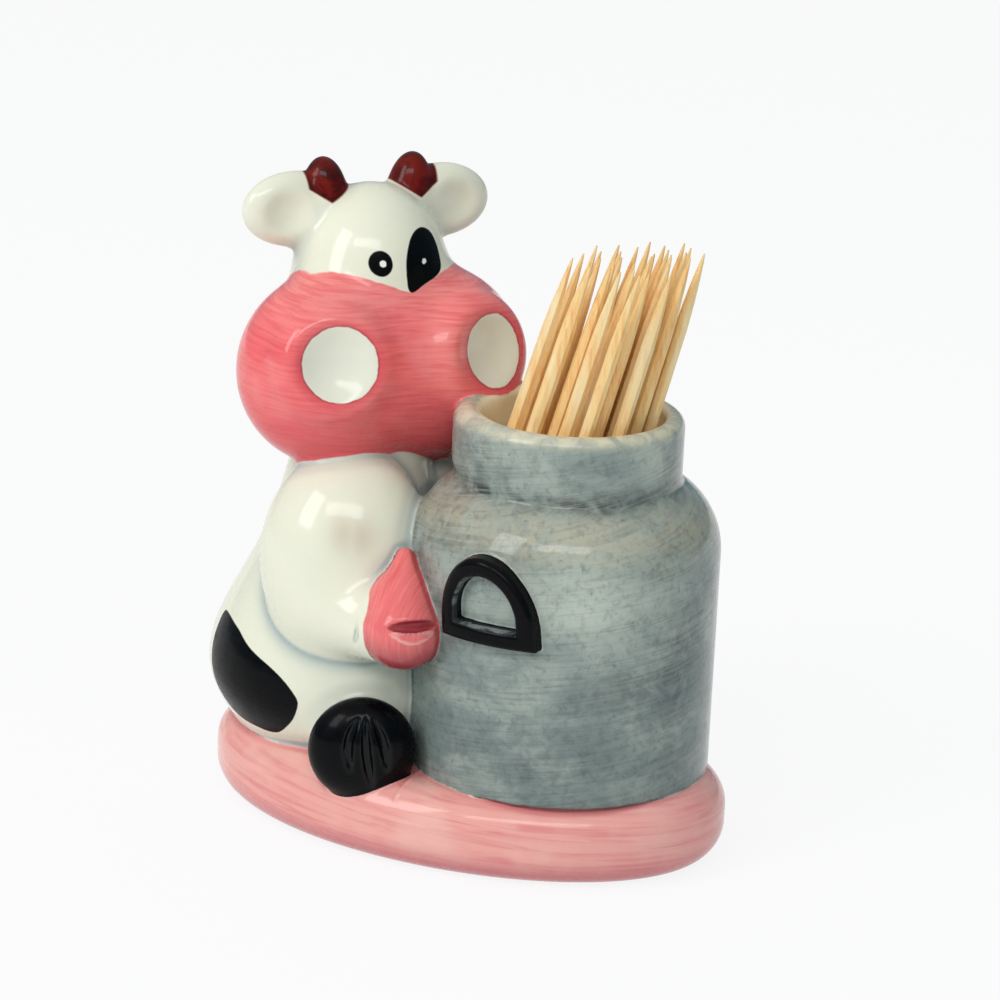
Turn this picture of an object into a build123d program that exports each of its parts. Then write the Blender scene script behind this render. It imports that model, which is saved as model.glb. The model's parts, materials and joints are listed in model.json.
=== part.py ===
from build123d import *
import math
import os

# Toothpick holder: a seated cow hugs a milk can on an oval plinth, and toothpicks stand in the can.
# Millimetres. The origin is the centre of the plinth's underside, Z is up and X runs towards the can.

# Plinth
PLINTH_LENGTH = 82.8
PLINTH_WIDTH = 52.0
PLINTH_HEIGHT = 12.9
PLINTH_TOP_ROUND = 5.0
PLINTH_FOOT_ROUND = 5.6
VENT_DIAMETER = 6.0

# Wall of the cow's hollow castings, and the film of slip that joins one casting to the next
WALL = 3.0
JOINT_FILM = 0.1

# Line along which the cow and the can sit, behind the plinth's long axis
FIGURE_Y = 1.0

# Milk can
CAN_X = 14.5
CAN_DIAMETER = 45.8
CAN_SIDE_HEIGHT = 33.4
SHOULDER_HEIGHT = 10.2
NECK_DIAMETER = 33.0
COLLAR_HEIGHT = 10.5
COLLAR_ROOT_ROUND = 1.5
RIM_OUTER_ROUND = 1.6
RIM_INNER_ROUND = 1.0
CAN_WALL = 2.6
COLLAR_WALL = 3.0
WELL_DEPTH = 37.5
WELL_FLOOR = 3.0

# Lugs of the can, one each side
LUG_BEARING = 94.0
LUG_WIDTH = 15.4
LUG_HEIGHT = 12.8
LUG_DEPTH = 2.4
LUG_BAR = 2.7
LUG_RISE = 24.4
LUG_STRAIGHT = 2.6

# Torso
TORSO_X = -20.5
SEAT_DIAMETER = 37.4
BELLY_DIAMETER = 44.4
BELLY_HEIGHT = 7.0
CHEST_DIAMETER = 31.6
CHEST_HEIGHT = 26.0
NAPE_DIAMETER = 20.0
TORSO_HEIGHT = 44.0

# Head: the crown carries the ears and horns, the muzzle hangs from its front
HEAD_X = -21.4
HEAD_SETBACK = 3.3
HEAD_RISE = 68.6
HEAD_TURN = -39.0
CROWN_DIAMETER = 23.8
CROWN_LENGTH = 28.8
MUZZLE_LOBE_DIAMETER = 29.8
MUZZLE_LOBE_DEPTH = 26.0
MUZZLE_LOBE_OFFSET = 7.6
MUZZLE_FORWARD = 4.7
MUZZLE_DROP = 12.5
MUZZLE_BRIDGE_DIAMETER = 25.4

# Ears
EAR_LENGTH = 16.4
EAR_HEIGHT = 11.4
EAR_THICKNESS = 6.0
EAR_REACH = 11.9
EAR_RISE = 10.7
EAR_SETBACK = 2.0
EAR_DISH_DIAMETER = 13.0
EAR_DISH_DEPTH = 1.5
EAR_DISH_SHIFT = 2.4

# Horns
HORN_DIAMETER = 7.2
HORN_LENGTH = 14.0
HORN_SPREAD = 6.8
HORN_RISE = 11.4
HORN_SETBACK = 2.0
HORN_SPLAY = 6.0

# Arms: a plump oval sleeve that leans back on the torso, by its bearing round the torso off the radius
# of the chest, and a forearm under it to the wrist, which lies by its bearing round the can off its side
SLEEVE_LENGTH = 33.2
SLEEVE_WIDTH = 25.8
SLEEVE_DEPTH = 19.2
SLEEVE_TURN = 24.0
SLEEVE_LEAN = 13.0
SLEEVE_BEARING = 70.9
SLEEVE_TUCK = 3.1
SLEEVE_RISE = 29.2
FOREARM_DIAMETER = 11.2
FOREARM_BEARING = 73.1
FOREARM_STANDOFF = 1.4
FOREARM_RISE = 22.3
WRIST_DIAMETER = 10.4
WRIST_BEARING = 137.0
WRIST_STANDOFF = 5.2
WRIST_RISE = 22.0

# Hands that hold the can: a ball drawn out to a tip, with a heel behind it
HAND_DIAMETER = 11.2
HAND_BEARING = 129.5
HAND_STANDOFF = 3.6
HAND_RISE = 22.6
HAND_TIP_DIAMETER = 2.6
HAND_TIP_BEARING = 136.0
HAND_TIP_STANDOFF = 0.8
HAND_TIP_RISE = 32.3
HAND_HEEL_DIAMETER = 8.8
HAND_HEEL_BEARING = 135.0
HAND_HEEL_STANDOFF = 3.2
HAND_HEEL_RISE = 26.2
HAND_HEEL_TUCK = 0.93
CLEFT_WIDTH = 1.4
CLEFT_DEPTH = 1.2
CLEFT_RISE = 24.6

# Legs and feet either side of the can, by their bearing round the torso, off the radius of the belly
HIP_DIAMETER = 18.0
ANKLE_DIAMETER = 11.6
HIP_BEARING = 72.4
HIP_TUCK = 10.7
HIP_RISE = 8.2
ANKLE_BEARING = 59.5
ANKLE_TUCK = 0.5
ANKLE_RISE = 4.0
FOOT_DIAMETER = 16.0
FOOT_DEPTH = 9.2
FOOT_OVERREACH = 5.2
FOOT_BEARING = 62.0

# Tail against the rump
TAIL_BEARING = 160.0
TAIL_ROOT_DIAMETER = 5.6
TAIL_TIP_DIAMETER = 3.8
TAIL_TOP_RISE = 16.0
TAIL_TIP_RISE = 7.5
TUFT_DIAMETER = 6.4
TUFT_LENGTH = 10.4
TUFT_RISE = 5.4

# Toothpicks
PICK_DIAMETER = 2.1
PICK_LENGTH = 63.5
PICK_POINT_LENGTH = 6.0
PICK_POINT_DIAMETER = 0.6
PICK_COUNT = 32
PICK_WALL_CLEARANCE = 0.3
PICK_FLOOR_CLEARANCE = 0.25
PICK_LENGTH_SPREAD = 1.6
BUNDLE_BEARING = 24.0
BUNDLE_FOOT_SHARE = 0.58
BUNDLE_MOUTH_SHARE = 0.84
BUNDLE_FOOT_HALF_DEPTH = 8.4
BUNDLE_MOUTH_HALF_DEPTH = 9.0
BUNDLE_FORWARD = 3.0
BUNDLE_START = 242.0

GOLDEN_ANGLE = 180.0 * (3.0 - math.sqrt(5.0))

# Places worked out from the sizes above
belly_radius = BELLY_DIAMETER / 2
chest_radius = CHEST_DIAMETER / 2
can_radius = CAN_DIAMETER / 2
neck_radius = NECK_DIAMETER / 2
mouth_radius = neck_radius - COLLAR_WALL
well_radius = can_radius - CAN_WALL
neck_height = CAN_SIDE_HEIGHT + SHOULDER_HEIGHT
can_height = neck_height + COLLAR_HEIGHT
well_floor_height = can_height - WELL_DEPTH
can_foot = Vector(CAN_X, FIGURE_Y, PLINTH_HEIGHT)
torso_foot = Vector(TORSO_X, FIGURE_Y, PLINTH_HEIGHT)
head_plane = Plane(
    origin=(HEAD_X, FIGURE_Y + HEAD_SETBACK, PLINTH_HEIGHT + HEAD_RISE),
    x_dir=(math.cos(math.radians(HEAD_TURN)), math.sin(math.radians(HEAD_TURN)), 0),
    z_dir=(0, 0, 1),
)


def bearing(degrees):
    """Level unit vector at an angle from X."""
    return Vector(math.cos(math.radians(degrees)), math.sin(math.radians(degrees)), 0)


def turned(edges):
    """Solid of revolution about Z of the closed outline made by the edges, drawn in X and Z."""
    return revolve(Plane.XZ * make_face(edges), Axis.Z)


def spheroid(diameter, length):
    """Ellipsoid of revolution about Z, its outline two exact quarters of an ellipse."""
    wide = diameter / 2
    tall = length / 2
    weights = [1, math.sqrt(0.5), 1]
    outline = [
        Bezier((0, -tall), (wide, -tall), (wide, 0), weights=weights),
        Bezier((wide, 0), (wide, tall), (0, tall), weights=weights),
        Line((0, tall), (0, -tall)),
    ]
    return turned(outline)


def limb(start, start_diameter, end, end_diameter):
    """Two balls and the tapered skin that joins them."""
    start = Vector(*start)
    end = Vector(*end)
    length = (end - start).length
    low = start_diameter / 2
    high = end_diameter / 2
    lean = math.asin((low - high) / length)
    low_touch = (low * math.cos(lean), low * math.sin(lean))
    high_touch = (high * math.cos(lean), length + high * math.sin(lean))
    low_middle = (low * math.cos((lean - math.pi / 2) / 2), low * math.sin((lean - math.pi / 2) / 2))
    high_angle = (lean + math.pi / 2) / 2
    high_middle = (high * math.cos(high_angle), length + high * math.sin(high_angle))
    outline = [
        ThreePointArc((0, -low), low_middle, low_touch),
        Line(low_touch, high_touch),
        ThreePointArc(high_touch, high_middle, (0, length + high)),
        Line((0, length + high), (0, -low)),
    ]
    return Plane(origin=start, z_dir=end - start) * turned(outline)


def round_torso(degrees, radius, rise):
    """Point on the cow's right, at a bearing and a distance from the torso's axis."""
    return torso_foot + bearing(-degrees) * radius + Vector(0, 0, rise)


def round_can(degrees, standoff, rise):
    """Point on the cow's right, at a bearing and a distance off the side of the can."""
    return can_foot + bearing(-degrees) * (can_radius + standoff) + Vector(0, 0, rise)


def mirrored(piece):
    """The same piece on the other side of the line through the cow and the can."""
    return mirror(piece, about=Plane(origin=(0, FIGURE_Y, 0), z_dir=(0, 1, 0)))


def plinth_outside(grow=0):
    """Oval slab with rounded edges."""
    height = PLINTH_HEIGHT + grow
    slab = extrude(Ellipse(PLINTH_LENGTH / 2 + grow, PLINTH_WIDTH / 2 + grow), height)
    slab = fillet(slab.edges().group_by(Axis.Z)[-1], PLINTH_TOP_ROUND)
    return fillet(slab.edges().group_by(Axis.Z)[0], PLINTH_FOOT_ROUND)


def plinth_shape():
    """Plinth with a vent under each hollow casting."""
    slab = plinth_outside()
    for x in (CAN_X, TORSO_X):
        slab -= Pos(x, FIGURE_Y, 0) * Cylinder(VENT_DIAMETER / 2, 3 * PLINTH_HEIGHT)
    return slab


def can_outside(grow=0):
    """The can without its hollows, grown by the film when it cuts its neighbours."""
    side = can_radius + grow
    neck = neck_radius + grow
    top = can_height + grow
    outline = [
        Line((0, 0), (side, 0)),
        Line((side, 0), (side, CAN_SIDE_HEIGHT)),
        TangentArc((side, CAN_SIDE_HEIGHT), (neck, neck_height + grow), tangent=(0, 1)),
        Line((neck, neck_height + grow), (neck, top)),
        Line((neck, top), (0, top)),
        Line((0, top), (0, 0)),
    ]
    can = turned(outline)
    root = can.edges().filter_by(GeomType.CIRCLE).sort_by(lambda edge: abs(edge.center().Z - neck_height))
    return Pos(*can_foot) * fillet(root[0], COLLAR_ROOT_ROUND)


def can_shape():
    """The can with its rounded rim, its well and the recess under the well's floor."""
    inner_turn = CAN_SIDE_HEIGHT - CAN_WALL / 2
    inner_neck = neck_height - CAN_WALL / 2
    inner = TangentArc((well_radius, inner_turn), (mouth_radius, inner_neck), tangent=(0, 1))
    well = [
        Line((0, well_floor_height), (well_radius, well_floor_height)),
        Line((well_radius, well_floor_height), (well_radius, inner_turn)),
        inner,
        Line((mouth_radius, inner_neck), (mouth_radius, can_height)),
        Line((mouth_radius, can_height), (0, can_height)),
        Line((0, can_height), (0, well_floor_height)),
    ]
    recess_height = well_floor_height - WELL_FLOOR
    can = can_outside() - Pos(*can_foot) * turned(well)
    can -= Pos(*can_foot) * extrude(Circle(well_radius), recess_height)
    rim = can.edges().filter_by(GeomType.CIRCLE).group_by(Axis.Z)[-1].sort_by(SortBy.LENGTH)
    can = fillet(rim[-1], RIM_OUTER_ROUND)
    rim = can.edges().filter_by(GeomType.CIRCLE).group_by(Axis.Z)[-1].sort_by(SortBy.LENGTH)
    return fillet(rim[0], RIM_INNER_ROUND)


def arch(width, height, straight):
    """Flat-footed arch outline standing on the X axis."""
    half = width / 2
    top = EllipticalCenterArc((0, straight), half, height - straight, 0, arc_size=180)
    return make_face([
        Line((-half, 0), (half, 0)),
        Line((half, 0), (half, straight)),
        top,
        Line((-half, straight), (-half, 0)),
    ])


def lug_shape():
    """D-shaped lug, before the can is cut out of its back."""
    opening = arch(LUG_WIDTH - 2 * LUG_BAR, LUG_HEIGHT - 2 * LUG_BAR, LUG_STRAIGHT / 2)
    outline = arch(LUG_WIDTH, LUG_HEIGHT, LUG_STRAIGHT) - Pos(0, LUG_BAR) * opening
    outward = bearing(-LUG_BEARING)
    foot = can_foot + Vector(0, 0, LUG_RISE)
    plane = Plane(origin=foot, x_dir=Vector(0, 0, 1).cross(outward), z_dir=outward)
    bar = extrude(plane * outline, can_radius + 2 * LUG_DEPTH)
    return bar & (Pos(*can_foot) * Cylinder(can_radius + JOINT_FILM + LUG_DEPTH, 2 * can_height))


def torso_outside(grow=0):
    """Pear-shaped torso."""
    top = TORSO_HEIGHT + grow
    flank = Spline(
        (SEAT_DIAMETER / 2 + grow, 0),
        (belly_radius + grow, BELLY_HEIGHT),
        (chest_radius + grow, CHEST_HEIGHT),
        (NAPE_DIAMETER / 2 + grow, top),
    )
    outline = [
        Line((0, 0), flank @ 0),
        flank,
        Line(flank @ 1, (0, top)),
        Line((0, top), (0, 0)),
    ]
    return Pos(*torso_foot) * turned(outline)


def crown_outside(grow=0):
    """Egg-shaped crown of the head."""
    return head_plane * spheroid(CROWN_DIAMETER + 2 * grow, CROWN_LENGTH + 2 * grow)


def muzzle_outside(grow=0):
    """Two cheeks side by side, bridged between."""
    lobe = Rot(0, 90, 0) * spheroid(MUZZLE_LOBE_DIAMETER + 2 * grow, MUZZLE_LOBE_DEPTH + 2 * grow)
    left = Vector(MUZZLE_FORWARD, MUZZLE_LOBE_OFFSET, -MUZZLE_DROP)
    right = Vector(MUZZLE_FORWARD, -MUZZLE_LOBE_OFFSET, -MUZZLE_DROP)
    bridge = MUZZLE_BRIDGE_DIAMETER + 2 * grow
    cheeks = Pos(*left) * lobe + Pos(*right) * lobe + limb(left, bridge, right, bridge)
    return head_plane * cheeks


def ear_shape(side):
    """Oval ear, dished at the front."""
    middle = Vector(-EAR_SETBACK, side * EAR_REACH, EAR_RISE)
    ball = Rot(90, 0, 0) * spheroid(EAR_HEIGHT, EAR_LENGTH)
    blade = scale(ball, by=(EAR_THICKNESS / EAR_HEIGHT, 1, 1))
    dish_place = (EAR_THICKNESS / 2 + EAR_DISH_DIAMETER / 2 - EAR_DISH_DEPTH, side * EAR_DISH_SHIFT, 0)
    ear = blade - Pos(*dish_place) * Sphere(EAR_DISH_DIAMETER / 2)
    return head_plane * (Pos(*middle) * ear)


def horn_outside(side, grow=0):
    """Blunt horn."""
    horn = Rot(-side * HORN_SPLAY, 0, 0) * spheroid(HORN_DIAMETER + 2 * grow, HORN_LENGTH + 2 * grow)
    return head_plane * (Pos(-HORN_SETBACK, side * HORN_SPREAD, HORN_RISE) * horn)


def hand_outside(grow=0):
    """Hoofed hand, pointed at the top and full at the heel."""
    ball = round_can(HAND_BEARING, HAND_STANDOFF, HAND_RISE)
    tip = round_can(HAND_TIP_BEARING, HAND_TIP_STANDOFF, HAND_TIP_RISE)
    heel = round_can(HAND_HEEL_BEARING, HAND_HEEL_STANDOFF, HAND_HEEL_RISE)
    full = HAND_DIAMETER + 2 * grow
    hand = limb(ball, full, tip, HAND_TIP_DIAMETER + 2 * grow)
    return hand + limb(heel, HAND_HEEL_DIAMETER + 2 * grow, ball, HAND_HEEL_TUCK * full)


def cleft_shape():
    """Level groove on the outer face of the hand."""
    outward = bearing(-HAND_BEARING)
    floor = HAND_DIAMETER / 2 - CLEFT_DEPTH + CLEFT_WIDTH / 2
    reach = round_can(HAND_BEARING, HAND_STANDOFF + floor, CLEFT_RISE)
    across = Vector(0, 0, 1).cross(outward)
    groove = Plane(origin=reach, z_dir=across) * Cylinder(CLEFT_WIDTH / 2, HAND_DIAMETER)
    slot = Plane(origin=reach + outward * CLEFT_WIDTH, x_dir=outward, z_dir=across)
    return groove + slot * Box(2 * CLEFT_WIDTH, CLEFT_WIDTH, HAND_DIAMETER)


def sleeve_outside(grow=0):
    """Plump oval of the bent arm."""
    lean = math.radians(SLEEVE_LEAN)
    upright = Vector(0, 0, 1) * math.cos(lean) + bearing(SLEEVE_TURN + 90) * math.sin(lean)
    middle = round_torso(SLEEVE_BEARING, chest_radius - SLEEVE_TUCK, SLEEVE_RISE)
    width = SLEEVE_WIDTH + 2 * grow
    oval = scale(spheroid(width, SLEEVE_LENGTH + 2 * grow), by=(1, (SLEEVE_DEPTH + 2 * grow) / width, 1))
    return Plane(origin=middle, x_dir=bearing(SLEEVE_TURN), z_dir=upright) * oval


def arm_forms(grow=0):
    """Sleeve and forearm of one arm bent round the can."""
    elbow = round_torso(FOREARM_BEARING, chest_radius + FOREARM_STANDOFF, FOREARM_RISE)
    wrist = round_can(WRIST_BEARING, WRIST_STANDOFF, WRIST_RISE)
    forearm = limb(elbow, FOREARM_DIAMETER + 2 * grow, wrist, WRIST_DIAMETER + 2 * grow)
    return [sleeve_outside(grow), forearm]


def arm_shape(cutters):
    """The arm, each form cut by its neighbours before they are joined."""
    arm = Part()
    for piece in arm_forms():
        for cutter in cutters:
            piece -= cutter
        arm += piece
    return arm


def ankle_place():
    """Middle of the ankle."""
    return round_torso(ANKLE_BEARING, belly_radius - ANKLE_TUCK, ANKLE_RISE)


def leg_shape():
    """Short leg laid forward from the hip."""
    hip = round_torso(HIP_BEARING, belly_radius - HIP_TUCK, HIP_RISE)
    return limb(hip, HIP_DIAMETER, ankle_place(), ANKLE_DIAMETER)


def foot_outside(grow=0):
    """Round hoof that caps the leg and leans out over the plinth's edge."""
    outward = bearing(-FOOT_BEARING)
    middle = ankle_place() + outward * FOOT_OVERREACH
    return Plane(origin=middle, z_dir=outward) * spheroid(FOOT_DIAMETER + 2 * grow, FOOT_DEPTH + 2 * grow)


def tail_places():
    """Root and tip of the tail on the skin of the rump."""
    outward = bearing(TAIL_BEARING)
    slope = (belly_radius - chest_radius) / (CHEST_HEIGHT - BELLY_HEIGHT)
    root_reach = belly_radius - slope * (TAIL_TOP_RISE - BELLY_HEIGHT)
    root = torso_foot + outward * root_reach + Vector(0, 0, TAIL_TOP_RISE)
    tip = torso_foot + outward * (belly_radius + TAIL_TIP_DIAMETER / 2) + Vector(0, 0, TAIL_TIP_RISE)
    return root, tip


def tail_shape():
    """Tail laid down the rump."""
    root, tip = tail_places()
    return limb(root, TAIL_ROOT_DIAMETER, tip, TAIL_TIP_DIAMETER)


def tuft_outside(grow=0):
    """Tuft at the end of the tail."""
    tip = tail_places()[1]
    middle = Vector(tip.X, tip.Y, PLINTH_HEIGHT + TUFT_RISE)
    return Pos(*middle) * spheroid(TUFT_DIAMETER + 2 * grow, TUFT_LENGTH + 2 * grow)


def pick_places(number):
    """Foot of one toothpick on the well's floor and the point where it passes the rim."""
    share = math.sqrt((number + 0.5) / PICK_COUNT)
    angle = math.radians(BUNDLE_START + number * GOLDEN_ANGLE)
    along = share * math.cos(angle)
    aside = share * math.sin(angle)
    well_reach = well_radius - PICK_DIAMETER / 2 - PICK_WALL_CLEARANCE
    mouth_reach = mouth_radius - PICK_DIAMETER / 2 - PICK_WALL_CLEARANCE
    foot_spread = BUNDLE_FOOT_SHARE * well_reach
    mouth_spread = BUNDLE_MOUTH_SHARE * mouth_reach
    frame = Plane(origin=can_foot, x_dir=bearing(BUNDLE_BEARING), z_dir=(0, 0, 1))
    foot = Vector(
        foot_spread - well_reach + foot_spread * along,
        BUNDLE_FOOT_HALF_DEPTH * aside - BUNDLE_FORWARD,
        well_floor_height + PICK_FLOOR_CLEARANCE,
    )
    mouth = Vector(
        mouth_reach - mouth_spread + mouth_spread * along,
        BUNDLE_MOUTH_HALF_DEPTH * aside - BUNDLE_FORWARD,
        can_height,
    )
    return frame.from_local_coords(foot), frame.from_local_coords(mouth)


def pick_shape(number):
    """Round toothpick pointed at both ends."""
    foot, mouth = pick_places(number)
    length = PICK_LENGTH + PICK_LENGTH_SPREAD * (number * 5 % 8 / 7 - 0.5)
    half = PICK_DIAMETER / 2
    point = PICK_POINT_DIAMETER / 2
    outline = Polyline(
        (0, 0),
        (point, 0),
        (half, PICK_POINT_LENGTH),
        (half, length - PICK_POINT_LENGTH),
        (point, length),
        (0, length),
        close=True,
    )
    return Plane(origin=foot, z_dir=mouth - foot) * turned(outline.edges())


# Skins that cut the neighbouring castings back by the film
plinth_skin = plinth_outside(JOINT_FILM)
can_skin = can_outside(JOINT_FILM)
torso_skin = torso_outside(JOINT_FILM)
crown_skin = crown_outside(JOINT_FILM)
hand_skin = hand_outside(JOINT_FILM)

# Castings on the middle line
pieces = {
    "plinth": plinth_shape(),
    "milk_can": can_shape(),
    "torso": torso_outside() - can_skin,
    "crown": crown_outside(),
    "muzzle": muzzle_outside() - can_skin - torso_skin - crown_skin,
    "tail_tuft": tuft_outside() - torso_skin - plinth_skin,
    "tail": tail_shape() - torso_skin - tuft_outside(JOINT_FILM),
}

# Castings in pairs, made for the cow's right and mirrored
pairs = {
    "arm": arm_shape((torso_skin, can_skin, hand_skin)),
    "hand_hoof": hand_outside() - can_skin - cleft_shape(),
    "foot_hoof": foot_outside() - can_skin - torso_skin,
    "leg": leg_shape() - can_skin - torso_skin - foot_outside(JOINT_FILM),
}
for piece in arm_forms(JOINT_FILM):
    pairs["leg"] -= piece
    pieces["muzzle"] -= piece
    pieces["muzzle"] -= mirrored(piece)
for name, piece in pairs.items():
    pieces[f"right_{name}"] = piece
    pieces[f"left_{name}"] = mirrored(piece)
for name in ("right_foot_hoof", "left_foot_hoof", "right_leg", "left_leg"):
    pieces[name] -= plinth_skin
pieces["front_can_lug"] = lug_shape() - can_skin
pieces["rear_can_lug"] = mirrored(pieces["front_can_lug"])
for side, flank in ((-1, "right"), (1, "left")):
    pieces[f"{flank}_ear"] = ear_shape(side) - crown_skin - horn_outside(side, JOINT_FILM)
    pieces[f"{flank}_horn"] = horn_outside(side) - crown_skin

# Hollow of the cow, one room through the torso, the muzzle and the crown
for room in (torso_outside(-WALL), crown_outside(-WALL), muzzle_outside(-WALL)):
    for name in ("torso", "crown", "muzzle"):
        pieces[name] -= room

# Toothpicks
for number in range(PICK_COUNT):
    pieces[f"toothpick_{number + 1:02d}"] = pick_shape(number)

os.makedirs("parts", exist_ok=True)
for name, piece in pieces.items():
    export_step(piece.solids().sort_by(SortBy.VOLUME)[-1], f"parts/{name}.step")
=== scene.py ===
import functools
import json
import math
import random

import bpy
import numpy as np
from mathutils import Matrix, Vector


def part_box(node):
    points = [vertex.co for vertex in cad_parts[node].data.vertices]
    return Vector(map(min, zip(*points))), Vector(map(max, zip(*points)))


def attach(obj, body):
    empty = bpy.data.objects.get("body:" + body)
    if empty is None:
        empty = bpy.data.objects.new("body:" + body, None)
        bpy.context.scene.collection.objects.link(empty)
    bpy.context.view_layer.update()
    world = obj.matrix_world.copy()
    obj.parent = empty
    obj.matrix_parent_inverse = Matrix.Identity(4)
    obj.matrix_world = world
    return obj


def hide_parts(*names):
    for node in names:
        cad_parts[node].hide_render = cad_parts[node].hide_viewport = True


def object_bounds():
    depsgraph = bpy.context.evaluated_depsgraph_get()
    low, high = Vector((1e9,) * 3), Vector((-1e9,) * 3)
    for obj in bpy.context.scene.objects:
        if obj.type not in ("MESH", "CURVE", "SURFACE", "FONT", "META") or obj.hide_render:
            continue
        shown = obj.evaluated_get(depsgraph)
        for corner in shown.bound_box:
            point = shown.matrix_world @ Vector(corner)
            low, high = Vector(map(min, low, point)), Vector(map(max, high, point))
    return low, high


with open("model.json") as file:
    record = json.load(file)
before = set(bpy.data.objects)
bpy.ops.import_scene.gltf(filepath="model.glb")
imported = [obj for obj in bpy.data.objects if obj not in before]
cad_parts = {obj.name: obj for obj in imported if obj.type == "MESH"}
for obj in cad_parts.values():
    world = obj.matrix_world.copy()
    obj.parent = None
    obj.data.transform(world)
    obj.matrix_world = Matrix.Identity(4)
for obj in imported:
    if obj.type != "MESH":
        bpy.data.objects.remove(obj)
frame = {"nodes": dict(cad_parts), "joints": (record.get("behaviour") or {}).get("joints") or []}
cad_low, cad_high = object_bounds()

# Shapes below are in millimetres in the row frame, as in the CAD model, and meshes are written in metres
MILLIMETRE = 0.001
GRID_STEP = 0.42
# Stands for any distance that is out of reach
FAR = 20.0

# Sizes repeated from the CAD model; the tip of the hand is moved a little to follow the photograph
PLINTH_HALF = np.array([41.4, 26.0])
PLINTH_HEIGHT = 12.9
PLINTH_TOP_ROUND = 5.0
PLINTH_FOOT_ROUND = 5.6
VENT_RADIUS = 3.0
FIGURE_Y = 1.0
CAN_FOOT = np.array([14.5, FIGURE_Y, PLINTH_HEIGHT])
CAN_RADIUS = 22.9
CAN_SIDE_HEIGHT = 33.4
CAN_NECK_HEIGHT = 43.6
CAN_HEIGHT = 54.1
NECK_RADIUS = 16.5
MOUTH_RADIUS = 13.5
WELL_RADIUS = 20.3
WELL_FLOOR_HEIGHT = 16.6
LUG_BEARING = 94.0
LUG_HALF_WIDTH = 7.7
LUG_HEIGHT = 12.8
LUG_DEPTH = 2.4
LUG_BAR = 2.7
LUG_RISE = 24.4
LUG_STRAIGHT = 2.6
LUG_SKEW = 0.1
LUG_ROUND = 0.9
LUG_SUNK = 2.0
LUG_TURN_LIMIT = 1.2
TORSO_FOOT = np.array([-20.5, FIGURE_Y, PLINTH_HEIGHT])
TORSO_FOOT_RADIUS = 18.7
BELLY_RADIUS = 22.2
BELLY_RISE = 7.0
WAIST_RADIUS = 15.8
WAIST_RISE = 26.0
TORSO_TOP_RADIUS = 10.0
TORSO_HEIGHT = 44.0
TORSO_OUTLINE = [
    (TORSO_FOOT_RADIUS, 0.0),
    (BELLY_RADIUS, BELLY_RISE),
    (WAIST_RADIUS, WAIST_RISE),
    (TORSO_TOP_RADIUS, TORSO_HEIGHT),
]
HEAD_MIDDLE = np.array([-21.4, FIGURE_Y + 3.3, PLINTH_HEIGHT + 68.6])
HEAD_TURN = -39.0
CROWN_RADII = np.array([11.9, 11.9, 14.4])
CHEEK_RADII = np.array([13.0, 14.9, 14.9])
CHEEK_OFFSET = 7.6
CHEEK_FORWARD = 4.7
CHEEK_DROP = 12.5
BRIDGE_RADIUS = 12.7
EAR_RADII = np.array([3.0, 8.2, 5.7])
EAR_MIDDLE = np.array([-2.0, 11.9, 10.7])
EAR_DISH_RADIUS = 6.5
EAR_DISH_DEPTH = 1.5
EAR_DISH_SHIFT = 2.4
EAR_DISH_SOFT = 1.4
HORN_RADII = np.array([3.6, 3.6, 7.0])
HORN_MIDDLE = np.array([-2.0, 6.8, 11.4])
HORN_SPLAY = 6.0


def bearing(degrees):
    """Level unit vector at an angle from X."""
    return np.array([math.cos(math.radians(degrees)), math.sin(math.radians(degrees)), 0.0])


def round_torso(degrees, radius, rise):
    """Point on the cow's right, at a bearing and a distance from the torso's axis."""
    return TORSO_FOOT + bearing(-degrees) * radius + np.array([0, 0, rise])


def round_can(degrees, standoff, rise):
    """Point on the cow's right, at a bearing and a distance off the side of the can."""
    return CAN_FOOT + bearing(-degrees) * (CAN_RADIUS + standoff) + np.array([0, 0, rise])


SLEEVE_MIDDLE = round_torso(70.9, WAIST_RADIUS - 3.1, 29.2)
SLEEVE_RADII = np.array([12.9, 9.6, 16.6])
SLEEVE_TURN = 24.0
SLEEVE_LEAN = 13.0
ELBOW = round_torso(73.1, WAIST_RADIUS + 1.4, 22.3)
ELBOW_RADIUS = 5.6
SLEEVE_SOFT = 6.0
WRIST = round_can(137.0, 5.2, 22.0)
WRIST_RADIUS = 5.2
HAND_BALL = round_can(129.5, 3.6, 22.6)
HAND_RADIUS = 5.6
HAND_TIP = round_can(141.5, 1.8, 32.2)
HAND_TIP_RADIUS = 1.3
HAND_HEEL = round_can(135.0, 3.2, 26.2)
HAND_HEEL_RADIUS = 4.4
HAND_PALM_RADIUS = 0.93 * HAND_RADIUS
HAND_SOFT = 2.5
HIP = round_torso(72.4, BELLY_RADIUS - 10.7, 8.2)
HIP_RADIUS = 9.0
ANKLE = round_torso(59.5, BELLY_RADIUS - 0.5, 4.0)
ANKLE_RADIUS = 5.8
FOOT_BEARING = 62.0
FOOT_STANDOFF = 5.2
FOOT_MIDDLE = ANKLE + bearing(-FOOT_BEARING) * FOOT_STANDOFF
FOOT_RADII = np.array([4.6, 8.0, 8.0])
TAIL_BEARING = 160.0
TAIL_RISE = 16.0
TAIL_NARROWING = (BELLY_RADIUS - WAIST_RADIUS) * (TAIL_RISE - BELLY_RISE) / (WAIST_RISE - BELLY_RISE)
TAIL_OUTWARD = bearing(TAIL_BEARING)
TAIL_ROOT = TORSO_FOOT + TAIL_OUTWARD * (BELLY_RADIUS - TAIL_NARROWING) + np.array([0, 0, TAIL_RISE])
TAIL_ROOT_RADIUS = 2.8
TAIL_TIP_RADIUS = 1.9
TAIL_TIP = TORSO_FOOT + TAIL_OUTWARD * (BELLY_RADIUS + TAIL_TIP_RADIUS) + np.array([0, 0, 7.5])
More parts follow.
